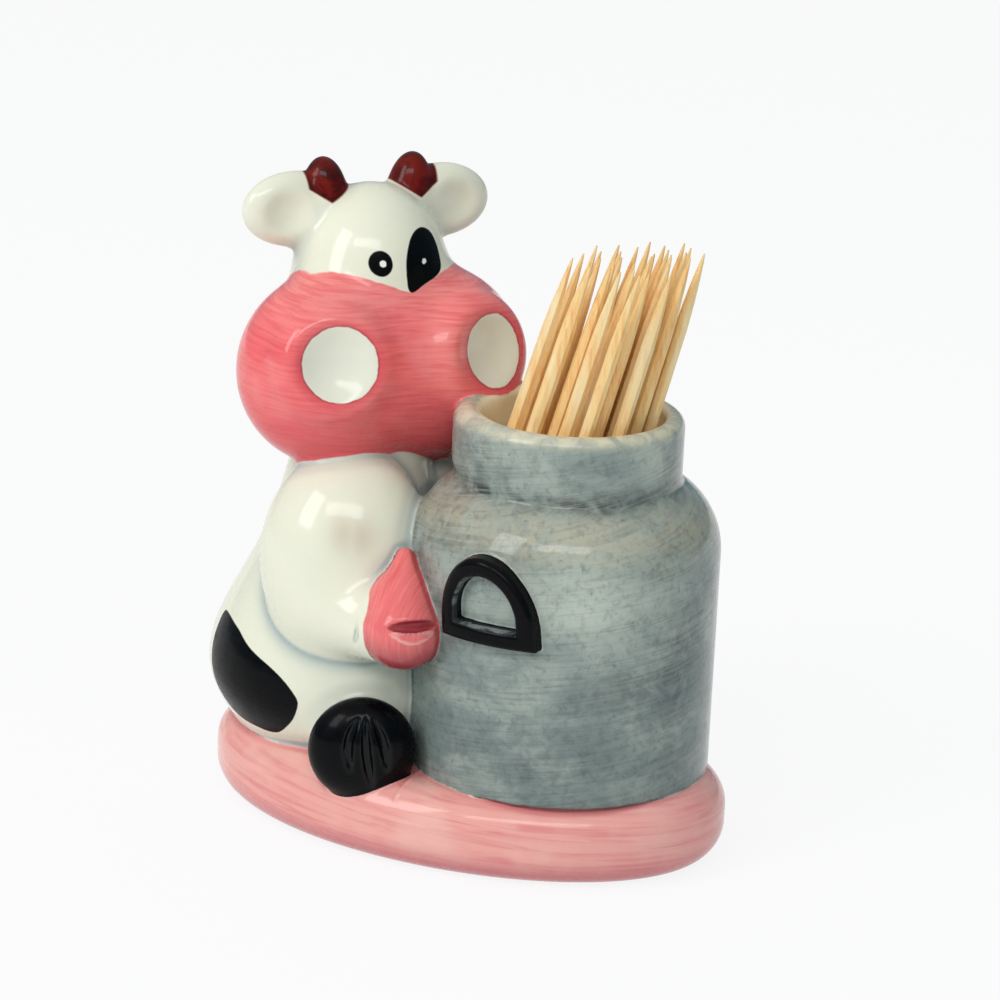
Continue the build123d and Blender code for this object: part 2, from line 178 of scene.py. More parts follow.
TUFT_MIDDLE = np.array([TAIL_TIP[0], TAIL_TIP[1], PLINTH_HEIGHT + 5.4])
TUFT_RADII = np.array([3.2, 3.2, 5.2])


# Distance fields: each gives the distance of points from a shape's skin, below zero inside

def axes_at(degrees):
    """Rows are the X, Y and Z axes of a frame turned about Z."""
    forward = bearing(degrees)
    return np.array([forward, np.cross([0.0, 0.0, 1.0], forward), [0.0, 0.0, 1.0]])


HEAD_AXES = axes_at(HEAD_TURN)


def in_head(points):
    """Points in the head's own frame: X out of the face, Y to the cow's left, Z up."""
    return (points - HEAD_MIDDLE) @ HEAD_AXES.T


def ball(points, middle, radius):
    return np.linalg.norm(points - middle, axis=1) - radius


def oval(local, radii):
    """Ellipse or ellipsoid about the origin, true close to its skin."""
    near = np.linalg.norm(local / radii, axis=1)
    steepness = np.linalg.norm(local / radii ** 2, axis=1)
    return near * (near - 1.0) / np.maximum(steepness, 1e-6)


def egg(points, middle, axes, radii):
    """Ellipsoid whose radii lie along the rows of axes."""
    return oval((points - middle) @ np.asarray(axes).T, radii)


def around(offset):
    """Bearing in radians and distance of points about the Z axis."""
    return np.arctan2(offset[:, 1], offset[:, 0]), np.hypot(offset[:, 0], offset[:, 1])


def wrapped(turn, half):
    """Angle brought into one turn about zero, where half is half a turn."""
    return (turn + half) % (2 * half) - half


def rounded_edge(across, up, radius):
    """What is inside both of two fields, with the edge between them rounded."""
    across = across + radius
    up = up + radius
    outside = np.hypot(np.maximum(across, 0.0), np.maximum(up, 0.0))
    return outside + np.minimum(np.maximum(across, up), 0.0) - radius


def limb(points, start, start_radius, end, end_radius):
    """Two balls and the tapered skin that joins them."""
    along = end - start
    length = np.linalg.norm(along)
    along = along / length
    lean = (start_radius - end_radius) / length
    cosine = math.sqrt(1.0 - lean * lean)
    offset = points - start
    rise = offset @ along
    reach = np.sqrt(np.maximum((offset ** 2).sum(1) - rise ** 2, 0.0))
    side = cosine * rise - lean * reach
    low = np.sqrt(reach ** 2 + rise ** 2) - start_radius
    high = np.sqrt(reach ** 2 + (rise - length) ** 2) - end_radius
    skin = cosine * reach + lean * rise - start_radius
    return np.where(side < 0, low, np.where(side > cosine * length, high, skin))


def join(first, second, soft):
    """Union of two fields with a fillet about as wide as soft."""
    near = np.maximum(soft - np.abs(first - second), 0.0) / soft
    return np.minimum(first, second) - near ** 3 * soft / 6.0


def carve(field, tool, soft):
    """Takes a tool's shape out of a field, with the edge rounded."""
    return -join(-field, tool, soft)


def arc_points(start, heading, end, count):
    """Points of the circular arc that leaves start along heading and ends at end."""
    start = np.array(start)
    end = np.array(end)
    heading = np.array(heading) / np.linalg.norm(heading)
    normal = np.array([-heading[1], heading[0]])
    chord = end - start
    radius = (chord @ chord) / (2.0 * (chord @ normal))
    middle = start + normal * radius
    first = math.atan2(start[1] - middle[1], start[0] - middle[0])
    sweep = 2.0 * math.atan2(chord @ normal, chord @ heading)
    turns = first + np.linspace(0.0, sweep, count)
    return [tuple(middle + abs(radius) * np.array([math.cos(turn), math.sin(turn)])) for turn in turns]


def smooth_curve(knots, count):
    """Natural cubic spline through the knots."""
    knots = np.array(knots, float)
    size = len(knots)
    steps = np.diff(knots, axis=0)
    spans = np.linalg.norm(steps, axis=1)
    slants = steps / spans[:, None]
    places = np.concatenate([[0.0], np.cumsum(spans)])
    matrix = np.eye(size)
    right = np.zeros_like(knots)
    for row in range(1, size - 1):
        before, after = spans[row - 1:row + 1]
        matrix[row, row - 1:row + 2] = before, 2.0 * (before + after), after
        right[row] = 6.0 * (slants[row] - slants[row - 1])
    bends = np.linalg.solve(matrix, right)
    wanted = np.linspace(0.0, places[-1], count)
    span = np.minimum(np.searchsorted(places, wanted, side="right") - 1, size - 2)
    width = spans[span, None]
    back = (places[span + 1] - wanted)[:, None] / width
    ahead = 1.0 - back
    bend = (back ** 3 - back) * bends[span] + (ahead ** 3 - ahead) * bends[span + 1]
    return back * knots[span] + ahead * knots[span + 1] + bend * width ** 2 / 6.0


def outline_distance(points, corners):
    """Distance of flat points from a closed outline, below zero inside."""
    corners = np.array(corners)
    ends = np.roll(corners, -1, axis=0)
    nearest = np.full(len(points), 1e9)
    inside = np.zeros(len(points), bool)
    for start, end in zip(corners, ends):
        edge = end - start
        share = np.clip(((points - start) @ edge) / max(edge @ edge, 1e-12), 0.0, 1.0)
        nearest = np.minimum(nearest, ((points - start - share[:, None] * edge) ** 2).sum(1))
        crossing = (start[1] > points[:, 1]) != (end[1] > points[:, 1])
        rise = edge[1] if abs(edge[1]) > 1e-12 else 1e-12
        level = start[0] + (points[:, 1] - start[1]) / rise * edge[0]
        inside ^= crossing & (points[:, 0] < level)
    nearest = np.sqrt(nearest)
    return np.where(inside, -nearest, nearest)


TABLE_STEP = 0.2
TABLE_REACH = 36.0
TABLE_MARGIN = 14.0


def turned_table(outline, height):
    """Distances from an outline of radius and height, kept on a fine grid."""
    radii = np.arange(0.0, TABLE_REACH, TABLE_STEP)
    heights = np.arange(-TABLE_MARGIN, height + TABLE_MARGIN, TABLE_STEP)
    grid = np.stack(np.meshgrid(radii, heights, indexing="ij"), -1).reshape(-1, 2)
    mirrored = [(-radius, rise) for radius, rise in reversed(outline)]
    return outline_distance(grid, outline + mirrored).reshape(len(radii), len(heights))


def turned(points, middle, table):
    """Solid of revolution about Z, read from its table."""
    offset = points - middle
    across = np.hypot(offset[:, 0], offset[:, 1]) / TABLE_STEP
    up = (offset[:, 2] + TABLE_MARGIN) / TABLE_STEP
    across = np.clip(across, 0.0, table.shape[0] - 1.001)
    up = np.clip(up, 0.0, table.shape[1] - 1.001)
    column = across.astype(int)
    row = up.astype(int)
    right = across - column
    above = up - row
    lower = table[column, row] * (1 - right) + table[column + 1, row] * right
    upper = table[column, row + 1] * (1 - right) + table[column + 1, row + 1] * right
    return lower * (1 - above) + upper * above


NECK_FILLET_FOOT = (NECK_RADIUS + 0.9, CAN_NECK_HEIGHT - 0.2)
NECK_FILLET_TOP = (NECK_RADIUS, CAN_NECK_HEIGHT + 1.4)
RIM_OUTER_ROUND = 1.8
RIM_INNER_ROUND = 1.1
CAN_HALF_WALL = (CAN_RADIUS - WELL_RADIUS) / 2
WELL_NECK = (MOUTH_RADIUS, CAN_NECK_HEIGHT - CAN_HALF_WALL)
WELL_SHOULDER = (WELL_RADIUS, CAN_SIDE_HEIGHT - CAN_HALF_WALL)
RIM_OUTSIDE = (NECK_RADIUS, CAN_HEIGHT - RIM_OUTER_ROUND)
RIM_INSIDE = (MOUTH_RADIUS + RIM_INNER_ROUND, CAN_HEIGHT)
CAN_PROFILE = [(0.0, 0.0), (CAN_RADIUS, 0.0)]
CAN_PROFILE += arc_points((CAN_RADIUS, CAN_SIDE_HEIGHT), (0, 1), NECK_FILLET_FOOT, 14)
CAN_PROFILE += arc_points(NECK_FILLET_FOOT, (-1, 0.25), NECK_FILLET_TOP, 6)
CAN_PROFILE += arc_points(RIM_OUTSIDE, (0, 1), (NECK_RADIUS - RIM_OUTER_ROUND, CAN_HEIGHT), 7)
CAN_PROFILE += arc_points(RIM_INSIDE, (-1, 0), (MOUTH_RADIUS, CAN_HEIGHT - RIM_INNER_ROUND), 6)
CAN_PROFILE += arc_points(WELL_NECK, (0, -1), WELL_SHOULDER, 10)
CAN_PROFILE += [(WELL_RADIUS, WELL_FLOOR_HEIGHT), (0.0, WELL_FLOOR_HEIGHT)]
CAN_TABLE = turned_table(CAN_PROFILE, CAN_HEIGHT)
# The neck under the muzzle is rounded over
TORSO_NECK = [(9.5, 45.0), (8.4, 46.0), (6.4, 46.9), (3.4, 47.4), (0.0, 47.6)]
TORSO_PROFILE = [(0.0, 0.0), *smooth_curve(TORSO_OUTLINE, 40), *TORSO_NECK]
TORSO_TABLE = turned_table(TORSO_PROFILE, TORSO_HEIGHT)


def plinth_field(points):
    middle = PLINTH_HEIGHT / 2
    rounding = np.where(points[:, 2] > middle, PLINTH_TOP_ROUND, PLINTH_FOOT_ROUND)
    up = np.abs(points[:, 2] - middle) - middle
    return rounded_edge(oval(points[:, :2], PLINTH_HALF), up, rounding)


def ramp(values, start, end):
    """Smooth step from zero at start to one at end, which may be the lower of the two."""
    share = np.clip((values - start) / (end - start), 0.0, 1.0)
    return share * share * (3.0 - 2.0 * share)


COLLAR_SWELL = 1.3
COLLAR_SWELL_BEARING = math.radians(-156.0)
# Heights and distances out between which the swelling comes in
COLLAR_FOOT = (CAN_NECK_HEIGHT - 1.0, CAN_NECK_HEIGHT + 3.0)
COLLAR_TOP = (CAN_HEIGHT + 1.5, CAN_HEIGHT - 2.0)
COLLAR_WALL = (MOUTH_RADIUS + 0.6, MOUTH_RADIUS + 2.4)


def can_field(points):
    """Turned can whose collar is a little thicker beside the muzzle."""
    offset = points - CAN_FOOT
    turn, reach = around(offset)
    facing = np.maximum(np.cos(turn - COLLAR_SWELL_BEARING), 0.0) ** 2
    level = ramp(offset[:, 2], *COLLAR_FOOT) * ramp(offset[:, 2], *COLLAR_TOP)
    swell = COLLAR_SWELL * facing * level * ramp(reach, *COLLAR_WALL)
    return turned(points, CAN_FOOT, CAN_TABLE) - swell


def torso_field(points):
    return turned(points, TORSO_FOOT, TORSO_TABLE)


def crown_field(points):
    return egg(points, HEAD_MIDDLE, HEAD_AXES, CROWN_RADII)


def cheek_middle(side):
    """Middle of one cheek, side 1 on the cow's left and -1 on its right."""
    return HEAD_MIDDLE + np.array([CHEEK_FORWARD, side * CHEEK_OFFSET, -CHEEK_DROP]) @ HEAD_AXES


NOSTRIL_MIDDLE = np.array([16.85, 12.6, -8.55])
NOSTRIL_OUTWARD = np.array([0.938, 0.257, 0.232])
MOUND_RADII = np.array([5.2, 9.0, 9.0])
MOUND_RISE = 1.4


def on_side(place, side):
    """A place on the left of the head's own frame, brought to either side."""
    return place * np.array([1, side, 1])


def nostril_axes(side):
    """Rows run out of a nostril, across it and up it, in the head's own frame."""
    outward = on_side(NOSTRIL_OUTWARD, side)
    across = np.cross([0.0, 0.0, 1.0], outward)
    across = across / np.linalg.norm(across)
    return np.array([outward, across, np.cross(outward, across)])


def mound_field(points, side):
    """Low swelling that carries a nostril."""
    axes = nostril_axes(side)
    middle = on_side(NOSTRIL_MIDDLE, side) - axes[0] * (MOUND_RADII[0] - MOUND_RISE)
    return egg(in_head(points), middle, axes, MOUND_RADII)


LOBE_SOFT = 7.0
BRIDGE_SOFT = 3.0
MOUND_SOFT = 3.0


def muzzle_field(points):
    left = egg(points, cheek_middle(1), HEAD_AXES, CHEEK_RADII)
    right = egg(points, cheek_middle(-1), HEAD_AXES, CHEEK_RADII)
    bridge = limb(points, cheek_middle(1), BRIDGE_RADIUS, cheek_middle(-1), BRIDGE_RADIUS)
    muzzle = join(join(left, right, LOBE_SOFT), bridge, BRIDGE_SOFT)
    for side in (-1, 1):
        muzzle = join(muzzle, mound_field(points, side), MOUND_SOFT)
    return muzzle


def ear_field(points, side):
    local = in_head(points) - on_side(EAR_MIDDLE, side)
    blade = egg(local, np.zeros(3), np.eye(3), EAR_RADII)
    forward = EAR_RADII[0] + EAR_DISH_RADIUS - EAR_DISH_DEPTH
    dish = ball(local, np.array([forward, side * EAR_DISH_SHIFT, 0.0]), EAR_DISH_RADIUS)
    return carve(blade, dish, EAR_DISH_SOFT)


def horn_field(points, side):
    local = in_head(points) - on_side(HORN_MIDDLE, side)
    lean = math.radians(HORN_SPLAY) * side
    axes = np.array([
        [1.0, 0.0, 0.0],
        [0.0, math.cos(lean), -math.sin(lean)],
        [0.0, math.sin(lean), math.cos(lean)],
    ])
    return egg(local, np.zeros(3), axes, HORN_RADII)


def to_right(points, side):
    """Points as the cow's right side sees them, so one shape serves both sides."""
    if side < 0:
        return points
    return points * np.array([1, -1, 1]) + np.array([0, 2 * FIGURE_Y, 0])


def sleeve_axes():
    """Rows run across the sleeve, into it and up along it; its top leans back."""
    across, inward, upright = axes_at(SLEEVE_TURN)
    lean = math.radians(SLEEVE_LEAN)
    return np.array([
        across,
        inward * math.cos(lean) - upright * math.sin(lean),
        upright * math.cos(lean) + inward * math.sin(lean),
    ])


def arm_field(points, side):
    points = to_right(points, side)
    sleeve = egg(points, SLEEVE_MIDDLE, sleeve_axes(), SLEEVE_RADII)
    return join(sleeve, limb(points, WRIST, WRIST_RADIUS, ELBOW, ELBOW_RADIUS), SLEEVE_SOFT)


def hand_field(points, side):
    points = to_right(points, side)
    hand = limb(points, HAND_BALL, HAND_RADIUS, HAND_TIP, HAND_TIP_RADIUS)
    return join(hand, limb(points, HAND_HEEL, HAND_HEEL_RADIUS, HAND_BALL, HAND_PALM_RADIUS), HAND_SOFT)


def leg_field(points, side):
    return limb(to_right(points, side), HIP, HIP_RADIUS, ANKLE, ANKLE_RADIUS)


def foot_field(points, side):
    return egg(to_right(points, side), FOOT_MIDDLE, axes_at(-FOOT_BEARING), FOOT_RADII)


def arch_distance(aside, up, half_width, height, straight):
    """Flat-footed arch that stands on zero."""
    dome = oval(np.stack([aside, up - straight], 1), np.array([half_width, height - straight]))
    wall = np.where(up > straight, dome, np.abs(aside) - half_width)
    return np.maximum(wall, -up)


def lug_outlines(points, side):
    """Distances from the lug's outer outline and from its hole, and how far out from the can's axis."""
    offset = to_right(points, side) - CAN_FOOT
    turn, reach = around(offset)
    turn = wrapped(turn + math.radians(LUG_BEARING), math.pi)
    up = offset[:, 2] - LUG_RISE
    aside = np.sin(turn) * reach + LUG_SKEW * up
    outer = arch_distance(aside, up, LUG_HALF_WIDTH, LUG_HEIGHT, LUG_STRAIGHT)
    hole_half = LUG_HALF_WIDTH - LUG_BAR
    hole_height = LUG_HEIGHT - 2 * LUG_BAR
    hole = arch_distance(aside, up - LUG_BAR, hole_half, hole_height, LUG_STRAIGHT / 2)
    return np.where(np.abs(turn) < LUG_TURN_LIMIT, outer, FAR), hole, reach


def lug_field(points, side):
    outer, hole, reach = lug_outlines(points, side)
    bar = rounded_edge(np.maximum(outer, -hole), reach - CAN_RADIUS - LUG_DEPTH, LUG_ROUND)
    return np.maximum(bar, CAN_RADIUS - LUG_SUNK - reach)


def tail_field(points):
    return limb(points, TAIL_ROOT, TAIL_ROOT_RADIUS, TAIL_TIP, TAIL_TIP_RADIUS)


def tuft_field(points):
    return egg(points, TUFT_MIDDLE, np.eye(3), TUFT_RADII)


SIDES = (("right", -1), ("left", 1))


def both_sides(name, field, soft):
    """The casting on the cow's right and the one on its left."""
    return [(f"{word}_{name}", functools.partial(field, side=side), soft) for word, side in SIDES]


# Castings in the order in which they are joined, with how softly each joins what came before
CASTINGS = [
    ("plinth", plinth_field, 0.6),
    ("milk_can", can_field, 0.6),
    ("torso", torso_field, 1.4),
    *both_sides("leg", leg_field, 2.6),
    ("muzzle", muzzle_field, 1.6),
    ("crown", crown_field, 4.6),
    *both_sides("ear", ear_field, 4.2),
    *both_sides("horn", horn_field, 1.2),
    *both_sides("arm", arm_field, 3.0),
    *both_sides("hand_hoof", hand_field, 1.3),
    *both_sides("foot_hoof", foot_field, 0.9),
    ("front_can_lug", functools.partial(lug_field, side=-1), 0.5),
    ("rear_can_lug", functools.partial(lug_field, side=1), 0.5),
    ("tail", tail_field, 1.0),
    ("tail_tuft", tuft_field, 0.9),
]
COLUMN = {name: number for number, (name, field, soft) in enumerate(CASTINGS)}
BOX_MARGIN = 7.0


def casting_distances(points):
    """Distance of the points from each casting, one column each."""
    table = np.full((len(points), len(CASTINGS)), FAR)
    for column, (name, field, soft) in enumerate(CASTINGS):
        low, high = boxes[name]
        near = ((points > low - BOX_MARGIN) & (points < high + BOX_MARGIN)).all(1)
        if near.any():
            table[near, column] = field(points[near])
    return table


def whole_field(points):
    """The whole ceramic figure with its joins filleted."""
    table = casting_distances(points)
    total = table[:, 0]
    for column in range(1, len(CASTINGS)):
        total = join(total, table[:, column], CASTINGS[column][2])
    return total


# Details carved into the castings, or raised on them

NOSTRIL_BALL = 11.0
NOSTRIL_DEPTH = 1.9
NOSTRIL_SOFT = 2.6
# Lines near the skin of the right hand, the plinth's edge and the right hoof
SLOT = [(-2.1, -24.9, 37.6), (1.1, -23.6, 37.9), (3.1, -19.8, 37.6)]
SLOT_RADIUS = 0.95
SLOT_SOFT = 0.4
UPPER_LIP = [(-1.9, -25.1, 36.8), (1.2, -23.7, 37.1), (3.3, -20.6, 36.7)]
LOWER_LIP = [(-1.9, -25.1, 36.8), (1.3, -23.9, 35.5), (3.3, -20.7, 36.5)]
LIP_RADIUS = 0.17
LIP_SOFT = 0.3
CREASE = [(-8.3, -22.7, 36.7), (-8.25, -23.0, 34.9), (-8.8, -22.4, 32.8)]
CREASE_RADIUS = 0.4
CREASE_SOFT = 0.3
SEAM = [(-0.1, -24.9, 11.1), (0.5, -21.9, 12.8), (-0.1, -16.7, 13.6)]
SEAM_RADIUS = 0.4
SEAM_SOFT = 0.8
# Places across and up the hoof's face
HOOF_LEAVES = [
    [(-0.8, 6.3), (-2.0, 2.6), (-1.7, -1.8)],
    [(0.3, 6.4), (0.5, 1.4), (1.6, -4.8)],
    [(1.5, 6.3), (2.9, 2.6), (3.7, -1.8)],
]
LEAF_RADIUS = 0.75
LEAF_SOFT = 0.5
LEAF_DEPTH = 0.8 * FOOT_RADII[0]
LINE_POINTS = 9
STRAND_TAPER = 0.03
STRAND_MARGIN = 4.0
LINE_SETTLINGS = 6
LINE_GAP = 0.1
SKIN_SETTLINGS = 2
SKIN_GAP = 0.12
NORMAL_GAP = 0.3
LEAST_STEEPNESS = 0.2
VENT_DEPTH = 8.0
VENT_SOFT = 0.4


def nostril_tool(points, side):
    middle = NOSTRIL_MIDDLE + NOSTRIL_OUTWARD * (NOSTRIL_BALL - NOSTRIL_DEPTH)
    return ball(in_head(points), on_side(middle, side), NOSTRIL_BALL)


def in_foot(places):
    """Places across and up near the outer face of the right foot, as points."""
    flat = [np.array([LEAF_DEPTH, across, up]) for across, up in places]
    return [FOOT_MIDDLE + place @ axes_at(-FOOT_BEARING) for place in flat]


def slope(field, points, gap):
    """Gradient of a field by central differences."""
    columns = []
    for axis in range(3):
        step = np.zeros(3)
        step[axis] = gap
        columns.append((field(points + step) - field(points - step)) / (2 * gap))
    return np.stack(columns, 1)


def settled(field, points, gap, most):
    """Points moved to a field's skin, by at most so much along each axis."""
    rise = slope(field, points, gap)
    move = field(points)[:, None] * rise / np.maximum((rise ** 2).sum(1, keepdims=True), LEAST_STEEPNESS)
    return points - np.clip(move, -most, most)


def laid(knots):
    """Points along a smooth line through the knots, settled on the skin."""
    line = smooth_curve(knots, LINE_POINTS)
    for settling in range(LINE_SETTLINGS):
        line = settled(whole_field, line, LINE_GAP, FAR)
    return line


def strand(points, line, radius):
    """Spindle along a line, pointed at both ends."""
    widths = radius * np.sqrt(np.sin(np.linspace(STRAND_TAPER, math.pi - STRAND_TAPER, len(line))))
    nearest = np.full(len(points), FAR)
    near = (points > line.min(0) - STRAND_MARGIN).all(1) & (points < line.max(0) + STRAND_MARGIN).all(1)
    for start, end, first, last in zip(line, line[1:], widths, widths[1:]):
        nearest[near] = np.minimum(nearest[near], limb(points[near], start, first, end, last))
    return nearest


def vent_tool(points):
    nearest = np.full(len(points), FAR)
    for foot in (CAN_FOOT, TORSO_FOOT):
        across = np.hypot(points[:, 0] - foot[0], points[:, 1] - foot[1]) - VENT_RADIUS
        nearest = np.minimum(nearest, np.maximum(across, points[:, 2] - VENT_DEPTH))
    return nearest


def detailed_field(points):
    total = whole_field(points)
    for side in (-1, 1):
        right = to_right(points, side)
        total = carve(total, nostril_tool(points, side), NOSTRIL_SOFT)
        for line, radius, soft in CARVED_LINES:
            total = carve(total, strand(right, line, radius), soft)
        for line, radius, soft in RAISED_LINES:
            total = join(total, strand(right, line, radius), soft)
    return carve(total, vent_tool(points), VENT_SOFT)


# Skin of the field as a mesh of four-sided faces

BLOCK = 8
BLOCK_REACH = 0.9 * BLOCK * GRID_STEP
BLOCK_SLACK = 1.5
BATCH = 400
SKIN_MARGIN = 3
UNDERSIDE_SHIFT = 0.013


def sampled_field(low, counts):
    """Field on a grid, worked out in full only in the blocks near the skin."""
    blocks = counts // BLOCK
    corners = np.stack(np.meshgrid(*[np.arange(size) for size in blocks], indexing="ij"), -1).reshape(-1, 3)
    rough = detailed_field(low + (corners * BLOCK + (BLOCK - 1) / 2) * GRID_STEP)
    values = rough.reshape(blocks)
    for axis in range(3):
        values = values.repeat(BLOCK, axis)
    near = corners[np.abs(rough) < BLOCK_REACH + BLOCK_SLACK]
    inner = np.stack(np.meshgrid(*[np.arange(BLOCK)] * 3, indexing="ij"), -1).reshape(-1, 3)
    for batch in np.array_split(near, len(near) // BATCH + 1):
        nodes = (batch[:, None, :] * BLOCK + inner).reshape(-1, 3)
        values[tuple(nodes.T)] = detailed_field(low + nodes * GRID_STEP)
    return values


def skin_mesh(values, low):
    """A vertex in each grid cell that the skin crosses, and a face round each grid edge that it crosses."""
    cells = np.array(values.shape) - 1
    total = int(cells.prod())
    sums = np.zeros((3, total))
    tally = np.zeros(total)
    faces = []
    for axis in range(3):
        across = (axis + 1) % 3
        up = (axis + 2) % 3
        first = np.take(values, np.arange(cells[axis]), axis)
        second = np.take(values, np.arange(1, cells[axis] + 1), axis)
        crossed = (first < 0) != (second < 0)
        nodes = np.argwhere(crossed)
        places = nodes.astype(float)
        places[:, axis] += first[crossed] / (first[crossed] - second[crossed])
        corners = []
        for shift_across, shift_up in ((-1, -1), (0, -1), (0, 0), (-1, 0)):
            cell = nodes.copy()
            cell[:, across] += shift_across
            cell[:, up] += shift_up
            flat = np.ravel_multi_index(tuple(cell.T), tuple(cells))
            tally += np.bincount(flat, minlength=total)
            for part in range(3):
                sums[part] += np.bincount(flat, weights=places[:, part], minlength=total)
            corners.append(flat)
        quads = np.stack(corners, 1)
        outward = first[crossed] < 0
        faces.append(np.where(outward[:, None], quads, quads[:, ::-1]))
    faces = np.concatenate(faces)
    used = np.unique(faces)
    renumber = np.zeros(total, int)
    renumber[used] = np.arange(len(used))
    points = low + (sums[:, used] / tally[used]).T * GRID_STEP
    return points, renumber[faces]


boxes = {}
for name in COLUMN:
    low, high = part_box(name)
    boxes[name] = (np.array(low) / MILLIMETRE, np.array(high) / MILLIMETRE)

slot_line = laid(SLOT)
lip_lines = [laid(UPPER_LIP), laid(LOWER_LIP)]
leaf_lines = [laid(in_foot(leaf)) for leaf in HOOF_LEAVES]
# Each with its radius and the softness of its edge
CARVED_LINES = [(slot_line, SLOT_RADIUS, SLOT_SOFT), (laid(CREASE), CREASE_RADIUS, CREASE_SOFT)]
CARVED_LINES += [(line, LEAF_RADIUS, LEAF_SOFT) for line in leaf_lines]
RAISED_LINES = [(line, LIP_RADIUS, LIP_SOFT) for line in lip_lines]
RAISED_LINES += [(laid(SEAM), SEAM_RADIUS, SEAM_SOFT)]

grid_low = np.array(cad_low) / MILLIMETRE - SKIN_MARGIN * GRID_STEP
# A small shift keeps the grid off the flat underside
grid_low[2] = -SKIN_MARGIN * GRID_STEP + UNDERSIDE_SHIFT
grid_high = np.max([high for low, high in boxes.values()], axis=0) + SKIN_MARGIN * GRID_STEP
grid_counts = (np.ceil((grid_high - grid_low) / GRID_STEP / BLOCK) * BLOCK).astype(int)
skin, skin_faces = skin_mesh(sampled_field(grid_low, grid_counts), grid_low)
for settling in range(SKIN_SETTLINGS):
    skin = settled(detailed_field, skin, SKIN_GAP, 0.5 * GRID_STEP)
skin[:, 2] = np.maximum(skin[:, 2], 0.0)
skin_normals = slope(detailed_field, skin, NORMAL_GAP)
skin_normals /= np.maximum(np.linalg.norm(skin_normals, axis=1, keepdims=True), 1e-9)


# Layers on the skin: distances in millimetres, below zero where a paint lies, or shares from 0 to 1

FEET_AND_LUGS = ["right_foot_hoof", "left_foot_hoof", "front_can_lug", "rear_can_lug", "tail_tuft"]
HANDS = ["right_hand_hoof", "left_hand_hoof"]
BODY = ["torso", "right_arm", "left_arm", *HANDS]
# Across the face and up it, in the head's own frame
PINK_EDGE = [
    (-13.0, 2.0), (-11.6, 2.5), (-9.7, 3.1), (-6.8, 2.8), (-3.5, 1.9), (-0.6, 0.8), (1.1, 0.3), (3.7, 1.3),
    (7.0, 2.4), (10.0, 2.8), (13.0, 2.3),
]
PINK_REACH = 3.0
PINK_FORWARD = 1.0
PINK_FORWARD_MOST = 10.0
EYE_MIDDLE = (-3.2, 4.6)
EYE_RADII = (1.75, 1.85)
EYE_PATCH = [
    (4.4, 9.1), (2.3, 8.3), (0.9, 5.7), (0.6, 2.4), (1.1, 0.3), (3.7, 1.3), (7.0, 2.7), (7.3, 5.2),
    (6.3, 8.0),
]
EYE_DOTS = [(-2.9, 4.6, 0.5), (3.9, 4.5, 0.42)]
# Side of the head, shift to the cow's left and half width of the white in each nostril
NOSTRIL_PAINTS = [(-1, 0.65, 5.6), (1, 1.1, 4.7)]
NOSTRIL_PAINT_RISE = 5.6
HORN_PAINT_REACH = 1.0
HORN_PAINT_ASIDE = 7.3
HORN_PAINT_FOOT = 11.9
HORN_PAINT_SLOPE = 0.62
SPOT_RADIUS = 21.0
SPOT_REACH = 1.5
# Bearings round the torso in degrees and heights in millimetres
SPOTS = [
    [(-141, 30.2), (-124, 29.6), (-112, 27.9), (-95, 25.5), (-86, 22.6), (-85, 20.7), (-89, 17.7),
     (-98, 15.0), (-112, 14.9), (-125, 15.6), (-135, 18.5), (-140, 22.5), (-143, 27.2)],
    [(176, 47.5), (162, 49.5), (146, 46.0), (140, 40.5), (149, 36.0), (166, 34.5), (181, 39.5)],
    [(121, 31.0), (108, 32.0), (95, 28.5), (90, 22.0), (97, 17.5), (112, 16.0), (127, 20.0), (130, 26.5)],
]
BLUSHES = [(-13.0, -18.7, 48.6), (-10.6, -17.6, 48.2)]
BLUSH_RADII = (2.2, 2.2, 3.2)
RING_STEPS = 6
FACE_FRONT = 2.0
PAINT_OVERRUN = 0.5
CREASE_PROBE = 1.5
HOLLOW_PROBE = 4.0
SHOULDER_MIDDLE = 40.0
SHOULDER_SPREAD = 3.6
# Heights between which a tint comes in, from none at the first to all at the second
RIM_FADE = (CAN_HEIGHT - 2.2, CAN_HEIGHT - 0.4)
FACE_GLOW_MIDDLE = (5.0, -5.5)
FACE_GLOW_RADII = (4.0, 7.0)
LOW_FACE = (-13.0, -26.0)
HIGH_FACE = (-8.0, 2.0)
LOW_HAND = (37.0, 30.0)
LOW_PLINTH = (6.0, 1.0)
LOW_CAN = (32.0, 2.0)
LUG_EDGE_HALF_WIDTH = 0.28
LUG_FACE_RADIUS = CAN_RADIUS + 1.0
# The paint inside the can reaches out to these radii at these heights
INNER_HEIGHTS = [CAN_SIDE_HEIGHT - CAN_HALF_WALL, CAN_NECK_HEIGHT]
INNER_RADII = [WELL_RADIUS + CAN_HALF_WALL, MOUTH_RADIUS + 0.9]
INNER_SOFT = 0.5


def smooth_ring(knots):
    """Closed smooth outline through the knots."""
    here = np.array(knots, float)
    before = np.roll(here, 1, axis=0)
    after = np.roll(here, -1, axis=0)
    later = np.roll(here, -2, axis=0)
    ring = []
    for share in np.arange(RING_STEPS) / RING_STEPS:
        bend = (2 * before - 5 * here + 4 * after - later) * share ** 2
        bend = bend + (3 * here - before - 3 * after + later) * share ** 3
        ring.append(here + ((after - before) * share + bend) / 2)
    return np.stack(ring, 1).reshape(-1, 2)


def nearest_of(table, *names):
    """Distance from the nearest of some castings."""
    return table[:, [COLUMN[name] for name in names]].min(1)


def against(table, names):
    """Distance from a group of castings against all the others: below zero on the group."""
    others = [name for name in COLUMN if name not in names]
    return nearest_of(table, *names) - nearest_of(table, *others)


